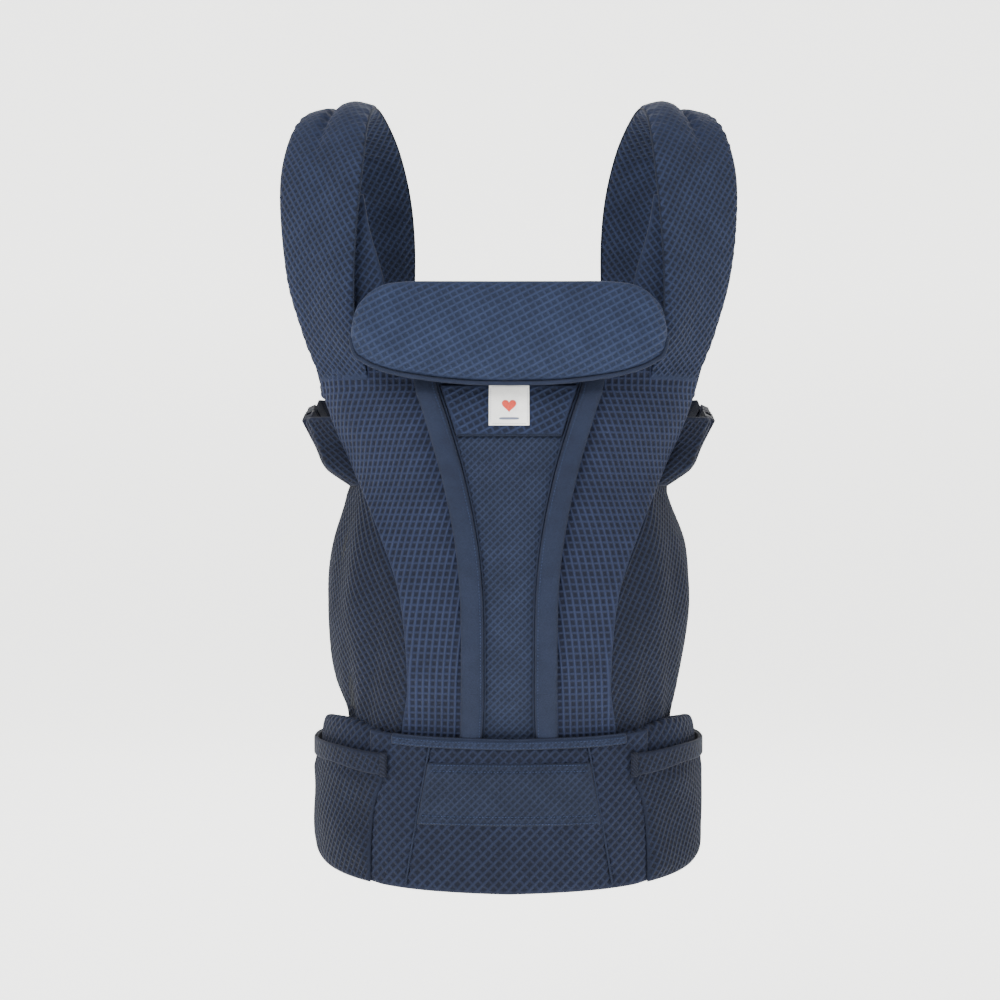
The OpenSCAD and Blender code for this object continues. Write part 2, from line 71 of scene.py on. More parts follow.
# ---- Curves and waves --------------------------------------------------------------------------


def smooth(table: Table, place: np.ndarray | float) -> np.ndarray:
    """Reads a table of rows with a smooth curve through them.

    Args:
        table: Rows of (place, value), places rising.
        place: Where to read it; beyond the ends the end values hold.

    Returns:
        The values at those places.
    """
    rows = np.asarray(table, float)
    xs, ys = rows[:, 0], rows[:, 1]
    slope = np.diff(ys) / np.diff(xs)
    m = np.empty_like(ys)
    m[0], m[-1] = slope[0], slope[-1]
    m[1:-1] = np.where(slope[:-1] * slope[1:] > 0, (slope[:-1] + slope[1:]) / 2, 0.0)
    x = np.clip(np.asarray(place, float), xs[0], xs[-1])
    i = np.clip(np.searchsorted(xs, x, side="right") - 1, 0, len(xs) - 2)
    h = xs[i + 1] - xs[i]
    s = (x - xs[i]) / h
    return (ys[i] * (2 * s**3 - 3 * s**2 + 1) + h * m[i] * (s**3 - 2 * s**2 + s)
            + ys[i + 1] * (3 * s**2 - 2 * s**3) + h * m[i + 1] * (s**3 - s**2))


def signed_power(value: np.ndarray, power: float) -> np.ndarray:
    """Raises the size of a value to a power and keeps its sign."""
    return np.sign(value) * np.abs(value) ** power


def rounded(distance: np.ndarray, radius: float) -> np.ndarray:
    """Height of a rolled edge, 0 at the edge and 1 from one radius inwards."""
    t = np.clip(distance / radius, 0.0, 1.0)
    return np.sqrt(np.clip(1.0 - (1.0 - t) ** 2, 0.0, 1.0))


def step(low: float, high: float, value: np.ndarray) -> np.ndarray:
    """Smooth step from 0 at low to 1 at high."""
    t = np.clip((value - low) / (high - low), 0.0, 1.0)
    return t * t * (3 - 2 * t)


def ripple(a: np.ndarray, b: np.ndarray, wave: float, seed: int) -> np.ndarray:
    """Soft irregular waves over two coordinates.

    Args:
        a, b: The coordinates, in metres.
        wave: Typical wavelength, in metres.
        seed: Fixes the directions and phases.

    Returns:
        Values from about -1 to 1.
    """
    rng = np.random.default_rng(seed)
    total = np.zeros(np.broadcast(a, b).shape)
    for _ in range(6):
        turn, phase = rng.uniform(0, 2 * math.pi, 2)
        size = wave * rng.uniform(0.7, 1.7)
        total += np.sin(2 * math.pi * (a * math.cos(turn) + b * math.sin(turn)) / size + phase)
    return total / 3.2


def unit(vectors: np.ndarray) -> np.ndarray:
    """Scales vectors along the last axis to length one."""
    return vectors / np.maximum(np.linalg.norm(vectors, axis=-1, keepdims=True), 1e-9)


def grid_normals(points: np.ndarray) -> np.ndarray:
    """Unit normals of a grid of points, turned by rows and then by columns."""
    return unit(np.cross(np.gradient(points, axis=1), np.gradient(points, axis=0)))


def along_path(points: np.ndarray, spacing: float) -> tuple[np.ndarray, np.ndarray]:
    """Evenly spaced points on a broken line.

    Args:
        points: The line's corners.
        spacing: Wanted distance between the new points.

    Returns:
        The new points and their distance along the line.
    """
    run = np.r_[0.0, np.cumsum(np.linalg.norm(np.diff(points, axis=0), axis=1))]
    count = max(2, int(round(run[-1] / spacing)) + 1)
    at = np.linspace(0, run[-1], count)
    return np.stack([np.interp(at, run, points[:, k]) for k in range(3)], axis=1), at


# ---- Meshes ------------------------------------------------------------------------------------


def new_piece(name: str, verts: np.ndarray, faces: np.ndarray,
              uv: np.ndarray | None = None, lift: np.ndarray | None = None) -> bpy.types.Object:
    """Makes a smooth-shaded object from arrays.

    Args:
        name: Name of the piece.
        verts: Its points, (n, 3).
        faces: Corner indices, (m, 3) or (m, 4).
        uv: Cloth coordinates of each point, in metres.
        lift: How much of the relief each point takes.

    Returns:
        The new object, at the origin.
    """
    mesh = bpy.data.meshes.new(name)
    mesh.from_pydata(verts.tolist(), [], faces.tolist())
    mesh.polygons.foreach_set("use_smooth", np.ones(len(faces), bool))
    if uv is not None:
        corner = np.zeros(len(mesh.loops), np.int32)
        mesh.loops.foreach_get("vertex_index", corner)
        mesh.uv_layers.new(name=UV_NAME).data.foreach_set("uv", uv[corner].astype(np.float32).ravel())
    if lift is not None:
        mesh.attributes.new(LIFT_NAME, "FLOAT", "POINT").data.foreach_set(
            "value", lift.astype(np.float32))
    mesh.update()
    piece = bpy.data.objects.new(name, mesh)
    bpy.context.scene.collection.objects.link(piece)
    return piece


def grid_faces(index: np.ndarray) -> np.ndarray:
    """Quads between the points of an index grid."""
    return np.stack([index[:-1, :-1], index[:-1, 1:], index[1:, 1:], index[1:, :-1]],
                    axis=-1).reshape(-1, 4)


def closed_pad(name: str, outer: np.ndarray, inner: np.ndarray, uv: np.ndarray,
               lift: np.ndarray | None = None) -> bpy.types.Object:
    """Closes an outer and an inner layer, which share their border, into one pad.

    Args:
        name: Name of the piece.
        outer, inner: Grids of points, (rows, columns, 3).
        uv: Cloth coordinates of the grid.
        lift: How much of the relief each grid point takes.

    Returns:
        The pad; faces of its inner layer have material index 1.
    """
    rows, cols = outer.shape[:2]
    count = rows * cols
    front = np.arange(count).reshape(rows, cols)
    back = front.copy()
    back[1:-1, 1:-1] = count + np.arange((rows - 2) * (cols - 2)).reshape(rows - 2, cols - 2)
    front_faces, back_faces = grid_faces(front), grid_faces(back)[:, ::-1]
    facing = (grid_normals(outer)[1:-1, 1:-1] * (outer - inner)[1:-1, 1:-1]).sum()
    if facing < 0:
        front_faces, back_faces = front_faces[:, ::-1], back_faces[:, ::-1]
    verts = np.concatenate([outer.reshape(-1, 3), inner[1:-1, 1:-1].reshape(-1, 3)])
    spread = np.concatenate([uv.reshape(-1, 2), uv[1:-1, 1:-1].reshape(-1, 2)])
    share = None if lift is None else np.concatenate([lift.ravel(), lift[1:-1, 1:-1].ravel()])
    piece = new_piece(name, verts, np.concatenate([front_faces, back_faces]), spread, share)
    side = np.r_[np.zeros(len(front_faces), np.int32), np.ones(len(back_faces), np.int32)]
    piece.data.polygons.foreach_set("material_index", side)
    return piece


def tube(name: str, rings: np.ndarray, uv: np.ndarray,
         lift: np.ndarray | None = None) -> bpy.types.Object:
    """Closes rings of points into one skin, each end gathered into a pole.

    Args:
        name: Name of the piece.
        rings: Points, (rings, around, 3).
        uv: Cloth coordinates of the rings.
        lift: How much of the relief each point takes.

    Returns:
        The skin, normals outwards.
    """
    count, around = rings.shape[:2]
    index = np.arange(count * around).reshape(count, around)
    faces = grid_faces(np.concatenate([index, index[:, :1]], axis=1))
    poles = np.stack([rings[0].mean(0), rings[-1].mean(0)])
    low, high = count * around, count * around + 1
    follow = np.roll(np.arange(around), -1)
    caps = np.concatenate([
        np.stack([index[0][follow], index[0], np.full(around, low), np.full(around, low)], 1),
        np.stack([index[-1], index[-1][follow], np.full(around, high), np.full(around, high)], 1)])
    verts = np.concatenate([rings.reshape(-1, 3), poles])
    spread = np.concatenate([uv.reshape(-1, 2), uv[0].mean(0)[None], uv[-1].mean(0)[None]])
    share = None if lift is None else np.r_[lift.ravel(), 0.0, 0.0]
    mesh = bpy.data.meshes.new(name)
    mesh.from_pydata(verts.tolist(), [], faces.tolist() + caps[:, :3].tolist())
    mesh.polygons.foreach_set("use_smooth", np.ones(len(mesh.polygons), bool))
    corner = np.zeros(len(mesh.loops), np.int32)
    mesh.loops.foreach_get("vertex_index", corner)
    mesh.uv_layers.new(name=UV_NAME).data.foreach_set(
        "uv", spread[corner].astype(np.float32).ravel())
    if share is not None:
        mesh.attributes.new(LIFT_NAME, "FLOAT", "POINT").data.foreach_set(
            "value", share.astype(np.float32))
    piece = bpy.data.objects.new(name, mesh)
    bpy.context.scene.collection.objects.link(piece)
    face_outwards(piece)
    return piece


def face_outwards(piece: bpy.types.Object) -> None:
    """Turns the faces of a closed piece outwards."""
    shell = bmesh.new()
    shell.from_mesh(piece.data)
    bmesh.ops.recalc_face_normals(shell, faces=shell.faces)
    shell.to_mesh(piece.data)
    shell.free()


def cord_rings(path: np.ndarray, radius: float, around: int = 8, flat: float = 1.0,
               up: np.ndarray | None = None) -> tuple[np.ndarray, np.ndarray]:
    """Rings of a round or flattened cord along a path, its ends drawn in.

    Args:
        path: Points of its middle.
        radius: Half its width.
        around: Points on a ring.
        flat: Its thickness as a share of its width.
        up: Direction of its thickness at each point.

    Returns:
        The rings and their cloth coordinates.
    """
    run = unit(np.gradient(path, axis=0))
    first = np.broadcast_to(np.array([0.0, 1.0, 0.0]), path.shape) if up is None else up
    first = unit(first - (first * run).sum(1, keepdims=True) * run)
    second = np.cross(run, first)
    turn = 2 * math.pi * np.arange(around) / around
    length = np.r_[0.0, np.cumsum(np.linalg.norm(np.diff(path, axis=0), axis=1))]
    end = np.minimum(length, length[-1] - length)
    size = radius * np.maximum(rounded(end, radius), 0.25)
    rings = (path[:, None] + size[:, None, None] * (
        np.cos(turn)[None, :, None] * second[:, None]
        + flat * np.sin(turn)[None, :, None] * first[:, None]))
    uv = np.stack(np.broadcast_arrays((turn * radius)[None], length[:, None]), axis=-1)
    return rings, uv


def cord_piece(name: str, path: np.ndarray, radius: float, spacing: float = 0.002,
               around: int = 8) -> bpy.types.Object:
    """A round cord, such as piping, along a path."""
    points, _ = along_path(path, spacing)
    return tube(name, *cord_rings(points, radius, around))


def thread_rows(name: str, rows: list[tuple[np.ndarray, np.ndarray]], pitch: float = 0.0030,
                length: float = 0.0021, radius: float = 0.00042) -> bpy.types.Object:
    """Rows of separate stitches, each a short thread that dips into the cloth at its ends.

    Args:
        name: Name of the piece.
        rows: For each row its path and the outward direction at the path's points.
        pitch: Distance between stitches.
        length: Length of a stitch.
        radius: Radius of the thread.

    Returns:
        One object with all the stitches.
    """
    stations = np.array([-0.5, -0.32, 0.32, 0.5]) * length
    sizes = np.array([0.35, 1.0, 1.0, 0.35]) * radius
    sink = np.array([-1.0, 0.35, 0.35, -1.0]) * radius
    turn = 2 * math.pi * np.arange(6) / 6
    verts, faces = [], []
    ring = np.arange(24).reshape(4, 6)
    shell = grid_faces(np.concatenate([ring, ring[:, :1]], axis=1))
    for path, out in rows:
        at, run = along_path(path, pitch)
        source = np.r_[0.0, np.cumsum(np.linalg.norm(np.diff(path, axis=0), axis=1))]
        normal = unit(np.stack([np.interp(run, source, out[:, k]) for k in range(3)], axis=1))
        ahead = unit(np.gradient(at, axis=0))
        across = np.cross(ahead, normal)
        for centre, t, n, c in zip(at[1:-1], ahead[1:-1], normal[1:-1], across[1:-1]):
            base = len(verts) * 24
            verts.append((centre + stations[:, None, None] * t
                          + sizes[:, None, None] * (np.cos(turn)[None, :, None] * c
                                                    + np.sin(turn)[None, :, None] * n)
                          + sink[:, None, None] * n).reshape(-1, 3))
            faces += (shell + base).tolist()
            faces += [[base + k for k in range(5, -1, -1)], [base + 18 + k for k in range(6)]]
    mesh = bpy.data.meshes.new(name)
    mesh.from_pydata(np.concatenate(verts).tolist(), [], faces)
    mesh.polygons.foreach_set("use_smooth", np.ones(len(mesh.polygons), bool))
    piece = bpy.data.objects.new(name, mesh)
    bpy.context.scene.collection.objects.link(piece)
    face_outwards(piece)
    return piece


def only(piece: bpy.types.Object) -> None:
    """Selects one object and nothing else."""
    bpy.ops.object.select_all(action="DESELECT")
    piece.select_set(True)
    bpy.context.view_layer.objects.active = piece


def subdivide(piece: bpy.types.Object) -> None:
    """Subdivides a piece once and applies it."""
    only(piece)
    finer = piece.modifiers.new("finer", "SUBSURF")
    finer.levels = finer.render_levels = 1
    bpy.ops.object.modifier_apply(modifier=finer.name)


def positions(mesh: bpy.types.Mesh) -> np.ndarray:
    """The points of a mesh as an array."""
    co = np.empty(len(mesh.vertices) * 3, np.float32)
    mesh.vertices.foreach_get("co", co)
    return co.reshape(-1, 3).astype(float)


def puff(piece: bpy.types.Object, held: np.ndarray, pressure: float = 4.0,
         cap: float = 0.008, frames: int = 20) -> None:
    """Swells a pad between its seams with a cloth simulation and keeps the result.

    Args:
        piece: The pad.
        held: Indices of the points that its seams hold.
        pressure: Air pressure in the pad.
        cap: The most that a point may move.
        frames: Frames to run.
    """
    scene = bpy.context.scene
    seams = piece.vertex_groups.new(name="seams")
    seams.add([int(i) for i in held], 1.0, "REPLACE")
    modifier = piece.modifiers.new("filling", "CLOTH")
    cloth = modifier.settings
    cloth.quality = 4
    cloth.use_pressure = True
    cloth.uniform_pressure_force = pressure
    cloth.vertex_group_mass = seams.name
    cloth.effector_weights.gravity = 0.0
    cloth.tension_stiffness = cloth.compression_stiffness = 20.0
    modifier.point_cache.frame_start, modifier.point_cache.frame_end = 1, frames
    for number in range(1, frames + 1):
        scene.frame_set(number)
    before = positions(piece.data)
    shown = piece.evaluated_get(bpy.context.evaluated_depsgraph_get()).to_mesh()
    move = positions(shown) - before
    piece.modifiers.remove(modifier)
    scene.frame_set(1)
    far = np.linalg.norm(move, axis=1, keepdims=True)
    move *= np.minimum(1.0, cap / np.maximum(far, 1e-9))
    piece.data.vertices.foreach_set("co", (before + move).astype(np.float32).ravel())
    piece.vertex_groups.remove(seams)
    piece.data.update()


def border(rows: int, cols: int) -> np.ndarray:
    """Indices of the outermost points of a pad's grid."""
    index = np.arange(rows * cols).reshape(rows, cols)
    return np.unique(np.r_[index[0], index[-1], index[:, 0], index[:, -1]])


# ---- Finishes ----------------------------------------------------------------------------------


def linear(red: int, green: int, blue: int) -> tuple[float, float, float, float]:
    """A screen colour of 0 to 255 as a shader colour."""
    def one(value: int) -> float:
        """One channel of it."""
        v = value / 255
        return v / 12.92 if v <= 0.04045 else ((v + 0.055) / 1.055) ** 2.4
    return one(red), one(green), one(blue), 1.0


class Shader:
    """Places and joins the nodes of one tree."""

    def __init__(self, tree: bpy.types.NodeTree) -> None:
        """Keeps the tree."""
        self.tree = tree

    def add(self, kind: str, inputs: dict | None = None, **settings: object) -> bpy.types.Node:
        """Adds a node.

        Args:
            kind: Its type.
            inputs: Values or output sockets by input name or number.
            settings: Its properties.

        Returns:
            The node.
        """
        node = self.tree.nodes.new(kind)
        for key, value in settings.items():
            setattr(node, key, value)
        for key, value in (inputs or {}).items():
            if isinstance(value, bpy.types.NodeSocket):
                self.tree.links.new(value, node.inputs[key])
            else:
                node.inputs[key].default_value = value
        return node

    def math(self, operation: str, first: object, second: object = 0.0) -> bpy.types.NodeSocket:
        """A Math node's output."""
        return self.add("ShaderNodeMath", {0: first, 1: second}, operation=operation).outputs[0]

    def vector(self, operation: str, first: object, second: object = (0, 0, 0)) -> bpy.types.NodeSocket:
        """A Vector Math node's output."""
        return self.add("ShaderNodeVectorMath", {0: first, 1: second},
                        operation=operation).outputs[0]

    def remap(self, value: object, low: float, high: float, to_low: float = 0.0,
              to_high: float = 1.0) -> bpy.types.NodeSocket:
        """A smooth Map Range node's output."""
        return self.add("ShaderNodeMapRange", {0: value, 1: low, 2: high, 3: to_low, 4: to_high},
                        interpolation_type="SMOOTHSTEP").outputs[0]

    def mix(self, factor: object, first: object, second: object) -> bpy.types.NodeSocket:
        """A colour mix."""
        node = self.add("ShaderNodeMix", data_type="RGBA")
        for slot, value in ((0, factor), (6, first), (7, second)):
            if isinstance(value, bpy.types.NodeSocket):
                self.tree.links.new(value, node.inputs[slot])
            else:
                node.inputs[slot].default_value = value
        return node.outputs[2]


def make_group(name: str, takes: dict[str, str], gives: dict[str, str]) -> tuple[
        Shader, bpy.types.Node, bpy.types.Node]:
    """Starts a node group.

    Args:
        name: Its name.
        takes: Socket type by input name.
        gives: Socket type by output name.

    Returns:
        The group's shader, its input node and its output node.
    """
    tree = bpy.data.node_groups.new(name, "ShaderNodeTree")
    for key, kind in takes.items():
        tree.interface.new_socket(key, in_out="INPUT", socket_type=kind)
    for key, kind in gives.items():
        tree.interface.new_socket(key, in_out="OUTPUT", socket_type=kind)
    shader = Shader(tree)
    return shader, shader.add("NodeGroupInput"), shader.add("NodeGroupOutput")


CROSS_RIDGE = 0.72   # height of the weaker family of ridges
FLAT_LEVEL = 0.55    # height of the cloth where the weave is pressed flat
VECTOR, FLOAT, COLOUR = "NodeSocketVector", "NodeSocketFloat", "NodeSocketColor"


class Groups:
    """The shader effects that several finishes share, each built once."""

    def __init__(self) -> None:
        """Builds them."""
        self.cells = self._cells()
        self.fibre = self._fibre()
        self.tone = self._tone()

    def _cells(self) -> bpy.types.NodeTree:
        """Waffle weave: a raised net round sunken square cells."""
        s, enter, leave = make_group("waffle_cells", {
            "Vector": VECTOR, "Pitch": FLOAT, "Turn": FLOAT, "Lift": FLOAT}, {"Net": FLOAT})
        turned = s.add("ShaderNodeVectorRotate", {"Vector": enter.outputs["Vector"],
                       "Angle": enter.outputs["Turn"]}, rotation_type="Z_AXIS").outputs[0]
        scale = s.math("DIVIDE", 1.0, enter.outputs["Pitch"])
        cell = s.add("ShaderNodeVectorMath", {0: turned, "Scale": scale}, operation="SCALE").outputs[0]
        cell = s.vector("ABSOLUTE", s.vector("SUBTRACT", s.vector("FRACTION", cell), (0.5, 0.5, 0.5)))
        apart = s.add("ShaderNodeSeparateXYZ", {0: cell})
        main = s.remap(apart.outputs[0], 0.16, 0.46)
        cross = s.remap(apart.outputs[1], 0.20, 0.46, 0.0, CROSS_RIDGE)
        net = s.math("MAXIMUM", main, cross)
        # The net also sets the colour, so pressing the weave flat also fades the painted shade in its
        # pits.
        weave_relief = s.math("ADD", s.math("MULTIPLY", s.math("SUBTRACT", net, FLAT_LEVEL),
                                    enter.outputs["Lift"]), FLAT_LEVEL)
        s.tree.links.new(weave_relief, leave.inputs["Net"])
        return s.tree

    def _fibre(self) -> bpy.types.NodeTree:
        """Yarn grain: fine crossed ribs and loose fuzz."""
        s, enter, leave = make_group("yarn_grain", {"Vector": VECTOR, "Rib": FLOAT},
                                     {"Height": FLOAT, "Mottle": FLOAT})
        scale = s.math("DIVIDE", 2 * math.pi, enter.outputs["Rib"])
        run = s.add("ShaderNodeVectorMath", {0: enter.outputs["Vector"], "Scale": scale},
                    operation="SCALE").outputs[0]
        apart = s.add("ShaderNodeSeparateXYZ", {0: run})
        ribs = s.math("MULTIPLY", s.math("SINE", apart.outputs[0]), s.math("SINE", apart.outputs[1]))
        fuzz = s.add("ShaderNodeTexNoise", {"Vector": enter.outputs["Vector"], "Scale": 900.0,
                     "Detail": 2.0}).outputs[0]
        height = s.math("ADD", s.math("MULTIPLY", ribs, 0.25), fuzz)
        mottle = s.add("ShaderNodeTexNoise", {"Vector": enter.outputs["Vector"], "Scale": 38.0,
                       "Detail": 3.0, "Roughness": 0.6}).outputs[0]
        s.tree.links.new(height, leave.inputs["Height"])
        s.tree.links.new(mottle, leave.inputs["Mottle"])
        return s.tree

    def _tone(self) -> bpy.types.NodeTree:
        """Cloth colour: the pit colour, painted shade where the weave is low, blended to the net colour
        by height, with a random mottle of the colour.
        """
        s, enter, leave = make_group("cloth_tone", {
            "Net": FLOAT, "Mottle": FLOAT, "Pit": COLOUR, "Ridge": COLOUR}, {"Color": COLOUR})
        # The pit colour where the net is low is painted shade in the sunken parts of the weave.
        base = s.mix(enter.outputs["Net"], enter.outputs["Pit"], enter.outputs["Ridge"])
        shade = s.remap(enter.outputs["Mottle"], 0.25, 0.75, 0.86, 1.12)
        tinted = s.add("ShaderNodeVectorMath", {0: base, "Scale": shade}, operation="SCALE").outputs[0]
        s.tree.links.new(tinted, leave.inputs["Color"])
        return s.tree


class Origin(Enum):
    """Which coordinates a finish reads."""

    CLOTH = "uv"
    PLACE = "object"


@dataclass(frozen=True)
class Finish:
    """A material's own values, shared by every kind of finish."""

    name: str
    ridge: tuple[int, int, int]
    # pit: colour of the low parts; on cloth this is painted shade in the weave's hollows, on plastic a
    # random darker tone.
    pit: tuple[int, int, int]
    roughness: float = 0.85
    sheen: float = 0.02
    shine: float = 0.16
    origin: Origin = Origin.CLOTH

    def start(self) -> tuple[bpy.types.Material, Shader, bpy.types.Node, bpy.types.NodeSocket]:
        """Begins the material.

        Returns:
            The material, its shader, its Principled node and its coordinates.
        """
        material = bpy.data.materials.new(self.name)
        material.use_nodes = True
        shader = Shader(material.node_tree)
        body = material.node_tree.nodes["Principled BSDF"]
        body.inputs["Roughness"].default_value = self.roughness
        body.inputs["Sheen Weight"].default_value = self.sheen
        body.inputs["Sheen Roughness"].default_value = 0.5
        body.inputs["Specular IOR Level"].default_value = self.shine
        if self.origin is Origin.CLOTH:
            place = shader.add("ShaderNodeUVMap", uv_map=UV_NAME).outputs[0]
        else:
            place = shader.add("ShaderNodeTexCoord").outputs["Object"]
        material.diffuse_color = linear(*self.ridge)
        return material, shader, body, place

    def dye_and_shade(self, shader: Shader, groups: Groups, body: bpy.types.Node, net: object,
            mottle: bpy.types.NodeSocket) -> None:
        """Sets the base colour from the weave's height and the mottle; on cloth the pit colour where the
        height is low is painted shade in the hollows.
        """
        tone = shader.add("ShaderNodeGroup", {}, node_tree=groups.tone)
        for key, value in (("Net", net), ("Mottle", mottle), ("Pit", linear(*self.pit)),
                           ("Ridge", linear(*self.ridge))):
            if isinstance(value, bpy.types.NodeSocket):
                shader.tree.links.new(value, tone.inputs[key])
            else:
                tone.inputs[key].default_value = value
        shader.tree.links.new(tone.outputs[0], body.inputs["Base Color"])

    def relief(self, shader: Shader, body: bpy.types.Node, height: bpy.types.NodeSocket,
               distance: float) -> None:
        """Raises the surface by a height of 0 to 1."""
        bump = shader.add("ShaderNodeBump", {"Height": height, "Distance": distance,
                                             "Strength": 1.0})
        shader.tree.links.new(bump.outputs[0], body.inputs["Normal"])


@dataclass(frozen=True)
class Waffle(Finish):
    """Waffle mesh: a net of yarn round sunken cells."""

    pitch: float = 0.0064
    turn: float = math.pi / 4
    depth: float = 0.0007
    bump: float = 0.0011
    rib: float = 0.0011

    def height(self, uv: np.ndarray) -> np.ndarray:
        """Height of the weave, in metres, at cloth coordinates, mid height at 0."""
        c, s = math.cos(self.turn), math.sin(self.turn)
        a = (uv[..., 0] * c - uv[..., 1] * s) / self.pitch
        b = (uv[..., 0] * s + uv[..., 1] * c) / self.pitch
        main = step(0.16, 0.46, np.abs(a - np.floor(a) - 0.5))
        cross = CROSS_RIDGE * step(0.20, 0.46, np.abs(b - np.floor(b) - 0.5))
        return self.depth * (np.maximum(main, cross) - FLAT_LEVEL)

    def build(self, groups: Groups) -> bpy.types.Material:
        """Builds the material from the shared groups."""
        material, shader, body, place = self.start()
        cells = shader.add("ShaderNodeGroup", {}, node_tree=groups.cells)
        shader.tree.links.new(place, cells.inputs["Vector"])
        cells.inputs["Pitch"].default_value = self.pitch
        cells.inputs["Turn"].default_value = self.turn
        lift = shader.add("ShaderNodeAttribute", attribute_name=LIFT_NAME).outputs["Fac"]
        shader.tree.links.new(lift, cells.inputs["Lift"])
        yarn = shader.add("ShaderNodeGroup", {}, node_tree=groups.fibre)
        shader.tree.links.new(place, yarn.inputs["Vector"])
        yarn.inputs["Rib"].default_value = self.rib
        # Colour from the net: the pit colour in the sunken cells is painted shade.
        self.dye_and_shade(shader, groups, body, cells.outputs["Net"], yarn.outputs["Mottle"])
        height = shader.math("ADD", cells.outputs["Net"],
                             shader.math("MULTIPLY", yarn.outputs["Height"], 0.16))
        self.relief(shader, body, height, self.bump)
        return material


@dataclass(frozen=True)
class Knit(Finish):
    """Plain fine knit, as on the tubes, bindings and lining."""

    rib: float = 0.0013
    bump: float = 0.0005

    def build(self, groups: Groups) -> bpy.types.Material:
        """Builds the material from the shared groups."""
        material, shader, body, place = self.start()
        yarn = shader.add("ShaderNodeGroup", {}, node_tree=groups.fibre)
        shader.tree.links.new(place, yarn.inputs["Vector"])
        yarn.inputs["Rib"].default_value = self.rib
        # Colour from the yarn height: the pit colour in the low yarn is painted shade.
        self.dye_and_shade(shader, groups, body, shader.remap(yarn.outputs["Height"], 0.2, 0.8),
                 yarn.outputs["Mottle"])
        self.relief(shader, body, yarn.outputs["Height"], self.bump)
        return material


@dataclass(frozen=True)
class Webbing(Finish):
    """Woven strap: cross ribs between its long edges."""

    origin: Origin = Origin.PLACE
    rib: float = 0.0016

    def build(self, groups: Groups) -> bpy.types.Material:
        """Builds the material from the shared groups."""
        material, shader, body, place = self.start()
        yarn = shader.add("ShaderNodeGroup", {}, node_tree=groups.fibre)
        shader.tree.links.new(place, yarn.inputs["Vector"])
        yarn.inputs["Rib"].default_value = self.rib
        # The wave's ribs also set the colour: the pit colour between them is painted shade.
        wave = shader.add("ShaderNodeTexWave", {"Vector": place, "Scale": 180.0,
                          "Distortion": 0.4}, bands_direction="DIAGONAL").outputs[1]
        self.dye_and_shade(shader, groups, body, wave, yarn.outputs["Mottle"])
        height = shader.math("ADD", wave, shader.math("MULTIPLY", yarn.outputs["Height"], 0.5))
        self.relief(shader, body, height, 0.0004)
        return material


@dataclass(frozen=True)
class Moulded(Finish):
    """Matt moulded plastic with a fine spark texture."""

    origin: Origin = Origin.PLACE
    grain: float = 2200.0

    def build(self, groups: Groups) -> bpy.types.Material:
        """Builds the material from the shared groups."""
        material, shader, body, place = self.start()
        grain = shader.add("ShaderNodeTexNoise", {"Vector": place, "Scale": self.grain,
                           "Detail": 2.0}).outputs[0]
        cloud = shader.add("ShaderNodeTexNoise", {"Vector": place, "Scale": 60.0,
                           "Detail": 3.0}).outputs[0]
        self.dye_and_shade(shader, groups, body, shader.remap(cloud, 0.35, 0.65), grain)
        shader.tree.links.new(shader.remap(cloud, 0.3, 0.7, self.roughness - 0.08,
                                           self.roughness + 0.08), body.inputs["Roughness"])
        self.relief(shader, body, grain, 0.00012)
        return material


@dataclass(frozen=True)
class Finishes:
    """Every finish of the carrier."""

    # The second colour of each cloth finish is its pit colour, painted shade in the hollows of the weave
    # or yarn.
    front: Waffle = Waffle("diamond_waffle", (34, 42, 65), (19, 24, 39), turn=1.07)
    pillow: Waffle = Waffle("pillow_waffle", (37, 46, 70), (26, 33, 51), turn=1.07)
    star: Waffle = Waffle("centre_waffle", (33, 40, 60), (22, 27, 41), pitch=0.0050, depth=0.0003,
                          bump=0.0005)
    wing: Waffle = Waffle("wing_waffle", (35, 42, 65), (18, 22, 36), turn=0.0)
    side: Waffle = Waffle("fine_waffle", (24, 30, 48), (11, 14, 25), pitch=0.0056, turn=0.48,
                          depth=0.0005)
    strap: Waffle = Waffle("strap_waffle", (33, 41, 64), (19, 24, 38), pitch=0.0060, turn=0.567)
    # inner_waffle: partly the darker colour of the inner mesh and partly painted shade of the faces
    # turned inwards.
    dark: Waffle = Waffle("inner_waffle", (18, 22, 33), (10, 13, 21), pitch=0.0056, depth=0.0004,
                          turn=0.567)
    belt: Waffle = Waffle("belt_waffle", (28, 34, 53), (15, 19, 32), pitch=0.0068)
    patch: Waffle = Waffle("patch_waffle", (30, 36, 54), (20, 25, 38), pitch=0.0054,
                           depth=0.0004, bump=0.0007)
    knit: Knit = Knit("plain_knit", (31, 38, 57), (24, 29, 44))
    binding: Knit = Knit("binding_knit", (27, 33, 50), (20, 25, 38))
    lining: Knit = Knit("lining_knit", (25, 31, 47), (18, 23, 36))
    thread: Knit = Knit("thread", (46, 57, 84), (34, 43, 66), origin=Origin.PLACE)
    label: Knit = Knit("label_cloth", (240, 240, 237), (226, 226, 224), rib=0.0009, bump=0.0002,
                       sheen=0.1)
    coral: Knit = Knit("coral_thread", (214, 84, 70), (190, 64, 54), origin=Origin.PLACE)
    grey: Knit = Knit("grey_thread", (118, 124, 142), (92, 98, 118), origin=Origin.PLACE)
    webbing: Webbing = Webbing("navy_webbing", (24, 28, 42), (14, 17, 27))
    plastic: Moulded = Moulded("navy_plastic", (24, 27, 40), (17, 19, 29), roughness=0.7,
                               sheen=0.0, shine=0.05)


